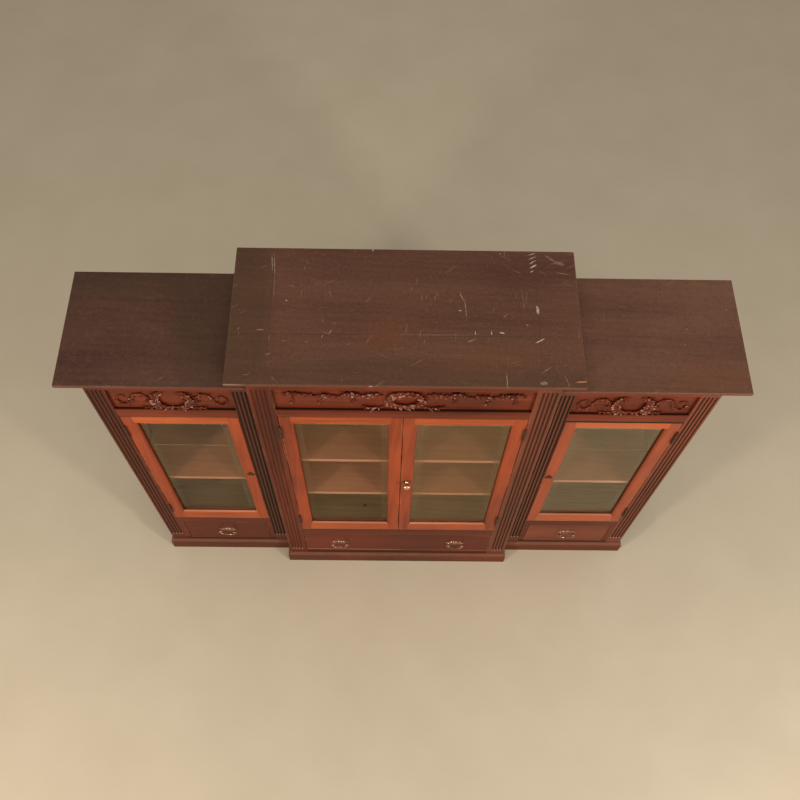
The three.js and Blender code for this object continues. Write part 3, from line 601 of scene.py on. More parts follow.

# Pilasters: fluted boards, cut out for the hinge leaves; tones are painted shade in the flutes and
# painted sheen on the flats
flutes = {"count": 4, "steps": 12, "endSteps": 7,
          **metres({"pitch": 12.6, "radius": 3.5, "arris": 1.2, "board": 22, "wear": 3.5,
                    "foot": {"wing": 133, "centre": 118}, "head": {"wing": 1422, "centre": 1542},
                    "shift": {"outer": 1.3, "inner": 8.5, "centre": 2.7}}),
          "tones": {"leftOuter": (0.6, 0.0), "leftInner": (0.85, 0.1), "leftCentre": (0.1, 0.0),
                    "rightOuter": (0.7, 0.25), "rightInner": (0.8, 0.25),
                    "rightCentre": (0.55, 0.22)}}
doorPlaces = {
    "left": {"hand": -1, "front": wing, **metres({"x": (-890, -518), "z": (342, 1246)})},
    "centre_left": {"hand": -1, "front": tall,
                    **metres({"x": (-377.5, -1.5), "z": (376, 1369)})},
    "centre_right": {"hand": 1, "front": tall, **metres({"x": (1.5, 377.5), "z": (376, 1369)})},
    "right": {"hand": 1, "front": wing, **metres({"x": (518, 890), "z": (342, 1246)})}}
hinges = {**metres({"length": 76, "inset": 108, "radius": 4, "proud": 4.5, "leafThick": 1.6,
                    "leafDepth": 17, "leafStart": 2.4, "gap": 1, "fit": 0.3, "knuckleGap": 0.4,
                    "pin": 1.8, "ease": 0.5, "finialOut": (0.3, 0.8, 1.7, 2.8, 4.1, 5)}),
          "finialShare": (0.78, 0.7, 0.86, 0.84, 0.55, 0)}


def hingeX(place):
    return place["x"][0 if place["hand"] < 0 else 1] + place["hand"] * hinges["gap"]


def hingeHeights(place):
    return {"lower": place["z"][0] + hinges["inset"], "upper": place["z"][1] - hinges["inset"]}


def leafCutters(place):
    hand, front, fit = place["hand"], place["front"], hinges["fit"]
    reach = hinges["length"] / 2 + fit
    edge = hingeX(place) + hand * hinges["gap"]
    cutters = []
    for z in hingeHeights(place).values():
        shape = Shape().box(sorted((edge - hand * mm, edge + hand * (hinges["leafThick"] + fit))),
                            (front - mm, front + hinges["leafDepth"] + fit),
                            (z - reach, z + reach))
        cutters.append(linked("cutter", meshOf("cutter", shape.points, [], shape.faces)))
    return cutters


def pilasterShape(span, front, top, foot, head, middle):
    radius, corner, count = flutes["radius"], flutes["arris"], flutes["count"]
    centres = [middle + (k - (count - 1) / 2) * flutes["pitch"] for k in range(count)]
    xs = [x for x, _ in arc((span[0] + corner, 0), (corner, corner), 180, 270, 4)]
    for centre in centres:
        xs += [centre + radius * cos(pi * (1 - k / flutes["steps"]))
               for k in range(flutes["steps"] + 1)]
    xs += [x for x, _ in arc((span[1] - corner, 0), (corner, corner), 270, 360, 4)]
    ends = [radius * (1 - cos(pi / 2 * k / flutes["endSteps"]))
            for k in range(flutes["endSteps"] + 1)]
    back = front + flutes["board"]
    rings = []
    for z in [0] + [foot + e for e in ends] + [head - e for e in reversed(ends)] + [top]:
        off = max(foot + radius - z, z - head + radius, 0)
        reach = sqrt(max(radius ** 2 - off ** 2, 0))
        ring = []
        for x in xs:
            near = min(abs(x - c) for c in centres)
            depth = sqrt(max(reach ** 2 - near ** 2, 0))
            edge = max(corner - (x - span[0]), corner - (span[1] - x), 0)
            depth += corner - sqrt(max(corner ** 2 - edge ** 2, 0))
            ring.append((x, front + depth, z))
        rings.append(ring + [(span[1], back, z), (span[0], back, z)])
    return Shape().loft(rings)


# Painted shade darkens the flutes, a painted sheen lightens the flats between them, and a painted
# highlight marks the flutes' feet
def fluteTone(span, front, foot, dirt, rub):
    def layer(s, colour, gloss):
        depth = s.y - front
        inside = (s.x - span[0]).least(span[1] - s.x).rise(2 * mm, 3 * mm)
        flute = depth.rise(0.8 * mm, 2.6 * mm) * inside
        colour = s.mix(depth.rise(0.6 * mm, 0.1 * mm) * rub, colour, (128, 84, 62))
        colour = s.mix(flute * dirt, colour, (34, 12, 5))
        end = (s.z - (foot + 2 * mm)).size().rise(5 * mm, 1 * mm)
        return s.mix(end * flute * 0.8, colour, (196, 156, 130)), gloss
    return layer


for side, s in sides.items():
    for place, spanX in (("outer", (case["openOuter"], wide)), ("inner", (half, case["openInner"])),
                         ("centre", (case["openCentre"], half))):
        span = sorted((s * spanX[0], s * spanX[1]))
        isTall = place == "centre"
        node = f"pilaster_centre_{side}" if isTall else f"pilaster_{side}_{place}"
        front, kind = (tall, "centre") if isTall else (wing, "wing")
        low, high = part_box(node)
        foot, head = flutes["foot"][kind], flutes["head"][kind]
        shape = pilasterShape(span, front, high.z, foot, head,
                              sum(span) / 2 + s * flutes["shift"][place])
        cuts = []
        if place != "inner":
            cuts = leafCutters(doorPlaces[f"centre_{side}" if isTall else side])
        title = side + place.title()
        wood = woodFinish(f"{title}PilasterWood", caseLook, "z", 11.0 + 3 * s + len(place),
                          fluteTone(span, front, foot, *flutes["tones"][title]),
                          box=(low, high, flutes["wear"]))
        makePiece(f"{title}Pilaster", shape, [wood], node, crease=50, cuts=cuts)
        for cutter in cuts:
            bpy.data.objects.remove(cutter)
print("pilasters made")

# Friezes: a rail, a beaded ledge, a sunk panel and a fascia in one board
friezes = metres({"sink": 9, "thick": 20, "bead": 3,
                  "wing": {"front": -122.5, "foot": 1248, "ledge": 1295, "head": 1422},
                  "centre": {"front": -177.5, "foot": 1371, "ledge": 1412, "head": 1542}})


# Dirt and painted shade in the corner over the beaded ledge, and a painted shadow along the gap
# over the right door
def friezeFinish(kind):
    front, foot, ledge = (friezes[kind][key] for key in ("front", "foot", "ledge"))
    ledgeDirtAndShade = stain(lambda s: (s.z - ledge).size().rise(5 * mm, 1 * mm)
                      * s.y.rise(front + 2 * mm, front + 5 * mm), (16, 8, 5), 0.9, 0.2)
    gapShadow = stain(lambda s: s.z.rise(foot + 5 * mm, foot + 2.5 * mm)
                     * (s.x.rise(0.4, 0.5) * 0.8 + 0.05), (26, 9, 5))
    return woodFinish(f"{kind}FriezeWood", friezeLook, "x", 8.8, ledgeDirtAndShade, gapShadow)


friezeWoods = {kind: friezeFinish(kind) for kind in ("wing", "centre")}
for bay in bays:
    low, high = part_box(f"frieze_{bay}")
    kind = "centre" if bay == "centre" else "wing"
    foot, ledge, head = (friezes[kind][key] for key in ("foot", "ledge", "head"))
    front, r = low.y, friezes["bead"]
    sunk, back = front + friezes["sink"], front + friezes["thick"]
    outline = [(front, foot), *arc((front + r, ledge - r), (r, r), 180, 90, 8), (sunk, ledge),
               (sunk, head), (front, head), (front, high.z), (back, high.z), (back, foot)]
    shape = Shape().loft([[(x, y, z) for y, z in outline] for x in (low.x, high.x)])
    makePiece(f"{bay}Frieze", shape, [friezeWoods[kind]], f"frieze_{bay}")


# Carving: leaves set along drawn lines over a round stem, with berries here and there
def leafShape():
    rings = []
    for u in (k / 7 for k in range(8)):
        broad = 0.03 + 0.27 * sin(pi * min(u * 0.93 + 0.07, 1) ** 0.85)
        high = 0.04 + 0.17 * sin(pi * min(u * 0.95 + 0.05, 1))
        curl = 0.16 * u * u
        rings.append([(u, a * broad, curl + b * high - c) for a, b, c in (
            (-1, 0, 0), (-0.55, 1, 0), (0, 0.45, 0), (0.55, 1, 0), (1, 0, 0), (0.6, 0, 0.16),
            (0, 0, 0.2), (-0.6, 0, 0.16))])
    return Shape().loft(rings)


def trailTree():
    tree = bpy.data.node_groups.new("leafTrail", "GeometryNodeTree")
    kinds = {"Geometry": "Geometry", "Leaf": "Object", "Wood": "Material", "Seed": "Int"}
    for title in (*kinds, "Spacing", "Length", "Lean", "Rise", "Berries", "Berry Size"):
        tree.interface.new_socket(title, in_out="INPUT",
                                  socket_type="NodeSocket" + kinds.get(title, "Float"))
    tree.interface.new_socket("Geometry", in_out="OUTPUT", socket_type="NodeSocketGeometry")
    g = Graph(tree, "Geometry")
    given = {each.name: Value(g, each) for each in tree.nodes.new("NodeGroupInput").outputs}
    line = g.node("MeshToCurve", {"Mesh": given["Geometry"]})
    girth, size = (g.node("InputNamedAttribute", {"Name": name}, data_type="FLOAT")
                   for name in ("girth", "leafSize"))
    ring = g.node("CurvePrimitiveCircle", {"Resolution": 12, "Radius": 1.0})
    stem = g.node("CurveToMesh", {
        "Curve": line, "Profile Curve": ring, "Scale": girth, "Fill Caps": True})
    spots = g.node("CurveToPoints", {"Curve": line, "Length": given["Spacing"]}, mode="LENGTH")
    tangent = Value(g, spots.socket.node.outputs["Tangent"])
    facing = g.node("FunctionNodeAxesToRotation", {
        "Primary Axis": (0, -1, 0), "Secondary Axis": tangent},
        primary_axis="Z", secondary_axis="X")
    hand = g.node("InputIndex").modulo(2.0) * 2.0 - 1.0

    def chance(low, high, shift):
        return g.node("FunctionNodeRandomValue", {2: low, 3: high, 8: given["Seed"] + shift}, 1,
                      data_type="FLOAT")

    lean = hand * (given["Lean"] + chance(-0.18, 0.18, 1.0))
    turn = g.node("ShaderNodeCombineXYZ", {
        "Y": (given["Rise"] + chance(-0.08, 0.08, 2.0)) * -1.0, "Z": lean})
    turned = g.node("FunctionNodeRotateRotation", {
        "Rotation": facing, "Rotate By": g.node("FunctionNodeEulerToRotation", {"Euler": turn})},
        rotation_space="LOCAL")
    leaf = g.node("ObjectInfo", {"Object": given["Leaf"]}, "Geometry",
                  transform_space="ORIGINAL")
    leaves = g.node("InstanceOnPoints", {
        "Points": spots, "Instance": leaf, "Rotation": turned,
        "Scale": size * given["Length"] * chance(0.85, 1.15, 3.0)})
    ball = g.node("MeshIcoSphere", {"Radius": 1.0, "Subdivisions": 2})
    picked = g.node("FunctionNodeCompare", {0: chance(0.0, 1.0, 4.0), 1: given["Berries"]},
                    data_type="FLOAT", operation="LESS_THAN")
    berries = g.node("InstanceOnPoints", {
        "Points": spots, "Selection": picked, "Instance": ball, "Rotation": facing,
        "Scale": given["Berry Size"] * chance(0.8, 1.2, 5.0)})
    whole = g.node("JoinGeometry", {"Geometry": [stem, leaves, berries]})
    real = g.node("RealizeInstances", {"Geometry": whole})
    done = g.node("SetMaterial", {"Geometry": real, "Material": given["Wood"]})
    out = tree.nodes.new("NodeGroupOutput")
    tree.links.new(done.socket, out.inputs[0])
    return tree


leafBase = leafShape()
leafMesh = meshOf("carvedLeaf", leafBase.points, [], leafBase.faces)
leafMesh.shade_smooth()
leafPattern = bpy.data.objects.new("carvedLeaf", leafMesh)
leafTrail = trailTree()

# Lines are lists of x, z, girth and leaf size, all but the last in mm, for one hand
carving = {**metres({"height": 7.5, "stand": 1.5, "leaf": 20, "berry": 2.6, "thinnest": 0.3}),
    "rise": 0.25, "oval": {"middle": (5, 1478), "size": (49, 41), "girth": 5.0, "steps": 16},
    "scroll": [(80, 1347, 1.2, 0), (84, 1342, 1.6, 0), (80, 1337, 2.0, 0),
        (73, 1339, 2.4, 0.1), (70, 1349, 2.9, 0.5), (73, 1364, 3.4, 0.7), (82, 1380, 3.8, 0.8),
        (97, 1389, 4.0, 0.8), (112, 1382, 4.0, 0.8), (121, 1364, 3.8, 0.8),
        (127, 1342, 3.6, 0.8), (139, 1325, 3.4, 0.8), (154, 1325, 3.2, 0.7),
        (165, 1341, 3.0, 0.6), (166, 1361, 2.6, 0.4), (158, 1376, 2.2, 0.1),
        (146, 1378, 1.8, 0), (140, 1370, 1.5, 0), (145, 1362, 1.2, 0)],
    "wreath": [(0, 1305, 4.0, 0.7), (22, 1307, 4.4, 1.0), (40, 1320, 4.6, 1.1),
        (50, 1342, 4.4, 1.1), (52, 1364, 4.0, 1.0), (45, 1386, 3.4, 0.9), (31, 1402, 2.6, 0.7),
        (22, 1408, 1.6, 0.4)],
    "spray": [(30, 1312, 2.0, 0.5), (52, 1303, 2.4, 0.8), (74, 1301, 2.2, 0.8),
        (94, 1306, 1.4, 0.6)],
    "vine": [(62, 1500, 1.8, 0.5), (84, 1509, 2.2, 0.9), (104, 1505, 2.2, 0.8),
        (118, 1496, 2.0, 0.6), (132, 1505, 2.2, 0.9), (158, 1511, 2.2, 1.0),
        (178, 1500, 2.0, 0.7), (192, 1492, 2.0, 0.6), (212, 1499, 2.2, 0.9),
        (238, 1501, 2.2, 0.9), (256, 1491, 2.0, 0.6), (272, 1503, 2.2, 0.8),
        (300, 1505, 2.2, 0.9), (326, 1511, 1.8, 0.7), (346, 1508, 1.4, 0.4),
        (352, 1498, 1.2, 0.1), (345, 1493, 1.0, 0)],
    "husk": [(60, 1432, 2.0, 0.5), (80, 1424, 2.6, 0.9), (100, 1425, 2.2, 0.8),
        (118, 1434, 1.2, 0.5)],
    "drop": [(0, 1497, 1.2, 0.3), (-2, 1480, 1.8, 0.7), (1, 1464, 2.0, 0.9), (0, 1451, 1.0, 0.5)],
    "dropPlaces": (148, 245, 325)}


# Lines are set out from a middle x and drawn smooth; share is the leaves' length
def carvedTrail(name, lines, middle, y, wood, spacing, share, lean, seed, berries=0.0):
    points, edges, girths, sizes = [], [], [], []
    for line in lines:
        start = len(points)
        for p in smoothLine([(x, z, g) for x, z, g, _ in line]):
            points.append((middle + p.x * mm, y, p.y * mm))
            girths.append(max(p.z * mm, carving["thinnest"]))
        sizes += [p.x for p in smoothLine([(size, 0, 0) for *_, size in line])]
        edges += [(i, i + 1) for i in range(start, len(points) - 1)]
    mesh = meshOf(name, points, edges, [])
    for title, values in (("girth", girths), ("leafSize", sizes)):
        mesh.attributes.new(title, "FLOAT", "POINT").data.foreach_set("value", values)
    piece = linked(name, mesh)
    trail = piece.modifiers.new("trail", "NODES")
    trail.node_group = leafTrail
    given = {"Leaf": leafPattern, "Wood": wood, "Spacing": spacing * mm, "Seed": seed,
             "Length": carving["leaf"] * share, "Lean": lean, "Rise": carving["rise"],
             "Berries": berries, "Berry Size": carving["berry"]}
    for socket in leafTrail.interface.items_tree:
        if socket.in_out == "INPUT" and socket.name in given:
            trail[socket.identifier] = given[socket.name]
    settled(piece)
    creased(piece.data, 50)
    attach(piece, "case")


# High leaf is rubbed pale in specks, and polish, dirt and painted shade stay dark in the ground
def rubbedAndShadedRelief(ground):
    def layer(s, colour, gloss):
        out = (ground - s.y) / carving["height"]
        patch = s.noise(40.0, 2.0, 0.6)
        speck = s.noise(150.0, 2.0, 0.6)
        worn = (out * 0.5 + (patch - 0.5) * 1.2 + (speck - 0.5) * 2.4).rise(0.62, 1.0)
        colour = s.mix(speck.rise(0.46, 0.36) * 0.5, colour, (44, 24, 12))
        # dirt and painted shade darken the low relief near the ground
        colour = s.mix(out.rise(0.5, 0.1) * 0.85, colour, (34, 14, 9))
        return s.mix(worn * 0.8, colour, (196, 156, 138)), gloss + worn * 0.05
    return layer


def bothHands(line, shift=0):
    return [[(s * (x + shift), z, g, size) for x, z, g, size in carving[line]] for s in (-1, 1)]


(x, z), (across, up), girth, steps = carving["oval"].values()
oval = [(x + across * sin(a), z - up * cos(a), girth, 1.0)
        for a in (2 * pi * k / steps for k in range(steps + 1))]
drops = [line for place in carving["dropPlaces"] for line in bothHands("drop", place)]
# For each trail its lines, leaf spacing in mm, leaf length, lean, seed, and share of berries
trails = {"centre": {"Wreath": ([oval], 6.5, 1.0, 0.75, 11),
                     "Vines": (bothHands("vine"), 7.5, 1.0, 0.8, 5, 0.35),
                     "Drops": (drops, 9, 0.7, 0.7, 15),
                     "Husks": (bothHands("husk"), 8, 1.0, 0.6, 8)},
          "wing": {"Wreath": (bothHands("wreath"), 6, 1.0, 0.85, 21),
                   "Scrolls": (bothHands("scroll"), 12, 0.8, 0.9, 31),
                   "Sprays": (bothHands("spray"), 8, 0.8, 0.6, 41)}}
grounds = {kind: friezes[kind]["front"] + friezes["sink"] for kind in trails}
carvedWoods = {kind: woodFinish(f"{kind}CarvedWood", friezeLook, "x", seed,
                                rubbedAndShadedRelief(grounds[kind]))
               for kind, seed in (("centre", 2.6), ("wing", 5.9))}
for bay, s in (("centre", 0), *sides.items()):
    kind = "wing" if s else "centre"
    low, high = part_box(f"frieze_{bay}")
    middle = s * abs(low.x + high.x) / 2
    for title, (lines, spacing, share, lean, seed, *berries) in trails[kind].items():
        carvedTrail(f"{bay}Frieze{title}", lines, middle, grounds[kind] - carving["stand"],
                    carvedWoods[kind], spacing, share, lean, seed + s, *berries)
print("friezes carved")

# Doors: stiles, rails and mitred sticking, each a part of its own
frames = metres({"stile": 42.5, "topRail": 50, "bottomRail": 60, "sticking": 8, "thick": 21,
                 "lip": 2, "tongue": 6.3, "slot": 4.6, "ease": 0.7, "joint": 0.12, "wear": 3})
doorLook = woodLook((94, 31, 9), (141, 53, 17), (163, 68, 24), (196, 112, 66), (140, 84, 54), 0.42)
# Pale tones for the lower sticking: a painted highlight
stickingHighlightLook = {**doorLook, "dark": (166, 94, 66), "mid": (190, 122, 92), "light": (204, 142, 112),
              "worn": (214, 168, 136)}
# The rails' looks are lighter copies of the door wood: painted light for the sheen the rails catch
litRailLook = {**doorLook, "dark": (124, 46, 14), "mid": (172, 76, 29), "light": (192, 92, 38)}
litFootRailLook = {**doorLook, "dark": (108, 38, 14), "mid": (152, 66, 27), "light": (172, 80, 34)}


def stickingRings(sight):
    (x0, x1), (z0, z1) = sight
    outer, tongue, thick = frames["sticking"], frames["tongue"], frames["thick"]
    slot = outer + frames["lip"]
    outline = [(outer, 0), *arc((outer, outer), (outer, outer), -90, -180, 8)[1:], (0, slot),
               (tongue, slot), (tongue, slot + frames["slot"]), (0, slot + frames["slot"]),
               (0, thick), (outer, thick)]
    corners = ((x0, z0, -1, -1), (x1, z0, 1, -1), (x1, z1, 1, 1), (x0, z1, -1, 1))
    return [[(x + sx * out, depth, z + sz * out) for out, depth in outline]
            for x, z, sx, sz in corners]


def doorShape(place):
    (x0, x1), (z0, z1) = place["x"], place["z"]
    stile, joint, keep = frames["stile"], frames["joint"], frames["sticking"]
    sight = ((x0 + stile, x1 - stile), (z0 + frames["bottomRail"], z1 - frames["topRail"]))
    depth = (0, frames["thick"])
    inner = (sight[0][0] - keep, sight[0][1] + keep)
    between = (inner[0] + joint, inner[1] - joint)
    shape = Shape()
    shape.box((x0, inner[0]), depth, (z0, z1), 0)
    shape.box((inner[1], x1), depth, (z0, z1), 1)
    shape.box(between, depth, (z0, sight[1][0] - keep), 2)
    shape.box(between, depth, (sight[1][1] + keep, z1), 3)
    rings = stickingRings(sight)
    for i, finish in enumerate((4, 1, 3, 0)):
        shape.loft([rings[i], rings[(i + 1) % 4]], finish)
    shape.points = [Vector((p[0], p[1] + place["front"], p[2])) for p in shape.points]
    return shape


# The hinge's middle knuckle, which turns with the door
def knuckleShape(place):
    shape = Shape()
    reach = hinges["length"] / 6 - hinges["knuckleGap"]
    front, axis = place["front"], place["front"] - hinges["proud"]
    r, ease = hinges["radius"], hinges["ease"]
    edge = hingeX(place) - place["hand"] * hinges["gap"]
    for z in hingeHeights(place).values():
        shape.turned([(r - ease, z - reach), (r, z - reach + ease), (r, z + reach - ease),
                      (r - ease, z + reach)], (hingeX(place), axis, 0))
        shape.box(sorted((edge, edge - place["hand"] * hinges["leafThick"])),
                  (axis + hinges["leafStart"], front + mm), (z - reach, z + reach))
    return shape


# The fixed half: two knuckles, the pin's finials and the leaf let into the pilaster
def fixedHingeShape(place, z):
    shape = Shape()
    front, axis = place["front"], place["front"] - hinges["proud"]
    end, third = hinges["length"] / 2, hinges["length"] / 6
    r, ease, pin = hinges["radius"], hinges["ease"], hinges["pin"]
    finial = [(r * share, end + out)
              for share, out in zip(hinges["finialShare"], hinges["finialOut"])]
    barrel = [(pin, third), (r - ease, third), (r, third + ease), (r, end - ease),
              (r - ease, end), *finial]
    for up in (1, -1):
        shape.turned([(pin, 0), *[(a, h * up) for a, h in barrel]], (hingeX(place), axis, z))
    edge = hingeX(place) + place["hand"] * hinges["gap"]
    leaf = sorted((edge, edge + place["hand"] * hinges["leafThick"]))
    shape.box(leaf, (front, front + hinges["leafDepth"]), (z - end, z + end))
    for foot, head in ((-end, -third), (third, end)):
        shape.box(leaf, (axis, front + mm), (z + foot, z + head))
    return shape


# Metals: base colour, patches of tarnish, a brushed or cast grain
def metalFinish(name, bright, dull, deep, look):
    s = Surface(name)
    patch = s.noise(look["patch"], 4.0, 0.65)
    grain = s.noise(look["grain"], 3.0, 0.6)
    colour = s.mix(patch.rise(0.42, 0.66) * look["age"], bright, dull)
    colour = s.mix(grain.rise(0.58, 0.7) * 0.4, colour, deep)
    rough = patch * 0.25 + grain * 0.12 + look["rough"]
    return s.finish(colour, rough, grain, look["depth"] * mm, {"Metallic": look["metal"]})


oldBrass = metalFinish("agedBrass", (184, 144, 120), (84, 58, 44), (44, 28, 20), {
    "patch": 60.0, "grain": 420.0, "age": 0.9, "rough": 0.1, "metal": 0.95, "depth": 0.1})
knobBrass = metalFinish("handledBrass", (234, 188, 150), (162, 112, 82), (84, 56, 40), {
    "patch": 90.0, "grain": 600.0, "age": 0.5, "rough": 0.12, "metal": 1.0, "depth": 0.04})
hingeIron = metalFinish("hingeIron", (78, 52, 36), (42, 28, 20), (24, 16, 12), {
    "patch": 70.0, "grain": 500.0, "age": 0.8, "rough": 0.35, "metal": 0.7, "depth": 0.08})
plateIron = metalFinish("keyholePlateIron", (70, 54, 38), (36, 28, 22), (20, 16, 13), {
    "patch": 80.0, "grain": 500.0, "age": 0.8, "rough": 0.3, "metal": 0.75, "depth": 0.08})

# A milky old polish dulls each door, a painted shadow lies in the gap over it, and painted shade
# darkens it behind the pane
doorPolishAndShade = {"left": (0.05, 0.3), "centre_left": (0.02, 0.35), "centre_right": (0.05, 0.35),
            "right": (0.16, 1.0)}
for name, place in doorPlaces.items():
    title, front = camel(name), place["front"]
    (x0, x1), (z0, z1) = place["x"], place["z"]
    polish, dirt = doorPolishAndShade[name]
    layers = (
        stain(lambda s: s.noise(6.0, 3.0, 0.6) * 0.6 + 0.7, (140, 96, 78), polish),
        # painted shade behind the pane, then a painted shadow along the top edge under the gap
        stain(lambda s: s.y.rise(front + 10 * mm, front + 12 * mm), (74, 46, 28), 0.75, 0.1),
        stain(lambda s: s.z.rise(z1 - 7 * mm, z1 - 4 * mm), (30, 10, 5), dirt))
    # Only the inner part of the lower sticking, next to the pane, carries a painted highlight
    outerTone = stain(lambda s: s.y.rise(front + 4 * mm, front + 2 * mm), (150, 64, 26), 0.9)
    box = ((x0, front, z0), (x1, front + frames["thick"], z1), frames["wear"])
    woods = [woodFinish(f"{title}Door{part}Wood", look, grain, seed + x0 * 9, *added, box=box)
             for part, look, grain, seed, added in (
                 ("LeftStile", doorLook, "z", 1.0, layers),
                 ("RightStile", doorLook, "z", 5.0, layers),
                 ("BottomRail", litRailLook if name == "left" else litFootRailLook, "x", 9.0, layers),
                 ("TopRail", litRailLook, "x", 14.0, layers),
                 ("LowerSticking", stickingHighlightLook, "x", 18.0, (outerTone, *layers)))]
    makePiece(f"{title}DoorFrame", doorShape(place), woods, f"door_{name}",
              frames["ease"])
    makePiece(f"{title}HingeKnuckles", knuckleShape(place), [hingeIron], f"door_{name}",
              crease=50)
    for level, z in hingeHeights(place).items():
        makePiece(f"{title}{level.title()}Hinge", fixedHingeShape(place, z), [hingeIron],
                  f"hinge_{name}_{level}", crease=50)
print("doors and hinges made")

# Panes: thin bevelled glass on the CAD's own forms, with a thin light line where the bevel ends
paneHaze = {"left": (0.02, "cool"), "centre_left": (0.0, "clear"),
            "centre_right": (0.07, "clear"), "right": (0.14, "cool")}
for name, (haze, tints) in paneHaze.items():
    low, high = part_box(f"glass_{name}")

    def paneSheen(s):
        below = high.z - s.z
        inset = (s.x - low.x).least(high.x - s.x).least((s.z - low.z).least(below))
        edge = glass["bevel"]
        line = (inset - edge).size().rise(glass["arris"], 0.0) * glass["arrisSheen"]
        return (inset.rise(edge, edge - mm) * glass["bevelSheen"]
                + below.rise(edge, edge - mm) * glass["headSheen"] + line + haze)

    materials = frame["nodes"][f"glass_{name}"].data.materials
    materials.clear()
    materials.append(glassFinish(f"{name}PaneGlass", tints, paneSheen))

# Drawer cases: the rail under each drawer carries painted shade, and the centre's floor has a knot
caseWork = metres({"faceDepth": 23, "ease": 0.7})
railShade = stain(lambda s: s.z.rise(118 * mm, 104 * mm), (44, 16, 8), 0.75, 0.1)
faceWood = woodFinish("drawerCaseFaceWood", caseLook, "x", 12.4, railShade)
insideWood = woodFinish("drawerCaseInsideWood", boxLook, "x", 1.9)
knottyWood = woodFinish("drawerCaseKnottyWood", boxLook, "x", 1.9,
                        markLayer({"dark": [(-134, -77, 8, 7, 20, 0.9)]}))
for bay in bays:
    node = f"drawer_case_{bay}"
    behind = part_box(node)[0].y + caseWork["faceDepth"]
    shape = nodeShape(node, lambda spot, way: 1 if spot.y > behind else 0)
    makePiece(f"{bay}DrawerCase", shape, [faceWood, knottyWood if bay == "centre" else insideWood],
              node, ease=caseWork["ease"])

# Drawers
drawers = metres({"front": 20, "side": 11, "sideDrop": 18, "lift": 8, "bottom": 6, "ease": 0.9,
                  "joint": 0.1, "wear": 4})
# Each drawer's wood tones run lighter from the left drawer to the right one: painted light
drawerFiguresAndLight = {"left": ((60, 14, 3), (76, 20, 4), (92, 28, 7)),
                 "centre": ((66, 16, 4), (86, 23, 6), (104, 32, 9)),
                 "right": ((82, 34, 17), (104, 47, 26), (124, 60, 34))}
boxWood = woodFinish("drawerBoxWood", boxLook, "y", 7.1)
boxEndWood = woodFinish("drawerBoxBackWood", boxLook, "x", 3.3)


def drawerShape(low, high):
    side, join = drawers["side"], drawers["joint"]
    back, head = low.y + drawers["front"], high.z - drawers["sideDrop"]
    end = high.y - side
    floor = low.z + drawers["lift"]
    inside = (low.x + side + join, high.x - side - join)
    shape = Shape().box((low.x, high.x), (low.y, back), (low.z, high.z), 0)
    for x in ((low.x, low.x + side), (high.x - side, high.x)):
        shape.box(x, (back + join, high.y), (low.z, head), 1)
    shape.box(inside, (end, high.y), (low.z, head), 2)
    return shape.box(inside, (back + join, end - join), (floor, floor + drawers["bottom"]), 2)


for bay in bays:
    low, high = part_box(f"drawer_{bay}")
    # A light worn line along the left part of the centre drawer's foot
    wornFoot = stain(lambda s: s.z.rise(low.z + 5 * mm, low.z + 2 * mm)
                     * s.x.rise(60 * mm, -40 * mm), (196, 146, 116), 0.7)
    look = woodLook(*drawerFiguresAndLight[bay], (166, 102, 66), (108, 70, 46), 0.44)
    box = (low, (high.x, low.y + drawers["front"], high.z), drawers["wear"])
    front = woodFinish(f"{bay}DrawerFrontWood", look, "x", 4.0 + len(bay) * 2.3,
                       *((wornFoot,) if bay == "centre" else ()), box=box)
    makePiece(f"{bay}Drawer", drawerShape(low, high), [front, boxWood, boxEndWood],
              f"drawer_{bay}", drawers["ease"])
print("drawers made")

# Pulls: a cast plate with a raised boss and two ball posts, and the bail between them.
# A swell of the bail's rod is where it lies, as a share of the reach, and how much it adds
pulls = {**metres({"halfWidth": 39, "halfHeight": 19, "thick": 1.6, "face": 0.85, "post": 27,
                   "reach": 11, "ball": 4.8, "ballOut": 11.75, "tip": 16.55, "rod": 1.9,
                   "drop": 31, "shoulder": 8.5, "eyeGap": 0.6, "bead": 1.6,
                   "wing": (704, 202), "centre": (237, 214),
                   "boss": ((11.5, 0), (11.2, 0.7), (9.6, 1.5), (8.2, 1.1), (7.2, 0.7),
                            (6.0, 1.4), (3.2, 2.2), (0, 2.4)),
                   "seat": ((6.6, 0), (6.4, 0.7), (5.2, 1.2), (4.0, 1.3), (3.3, 2.0),
                            (3.0, 3.4), (3.0, 7.6))}),
         "eyeShare": 0.72, "rodShare": 0.88, "middleSwell": (0.42, 0.25), "beadSwell": (0.3, 0.3),
         "plate": [(1, 0), (0.88, 0.36), (0.66, 0.4), (0.54, 0.84), (0.3, 0.7), (0, 1)],
         "bail": [(1, 0.12), (1, 0.3), (0.84, 0.62), (0.44, 0.9), (0, 1)],
         "rim": [(1.0, 0.0), (1.0, 0.9), (0.985, 1.35), (0.955, 1.6), (0.925, 1.45), (0.89, 1.0),
                 (0.86, 0.9)]}
outward = (0, -1, 0)


def plateOutline():
    quarter = pulls["plate"]
    upper = quarter + [(-x, z) for x, z in quarter[-2::-1]]
    shares = upper + [(x, -z) for x, z in upper[-2:0:-1]]
    return smoothLine([(x * pulls["halfWidth"], 0, z * pulls["halfHeight"])
                       for x, z in shares], 5, True)


def pullPlateShape(x, front, z):
    rim = plateOutline()
    shape = Shape().loft([[(x + p.x * share, front - up * mm, z + p.z * share) for p in rim]
                          for share, up in pulls["rim"]])
    face = front - pulls["face"]
    shape.turned(pulls["boss"], (x, face, z), outward, 36)
    ball = arc((0, pulls["ballOut"]), (pulls["ball"],) * 2, -52, 89, 9)
    for side in sides.values():
        shape.turned([*pulls["seat"], *ball, (0, pulls["tip"])],
                     (x + side * pulls["post"], face, z), outward)
    return shape


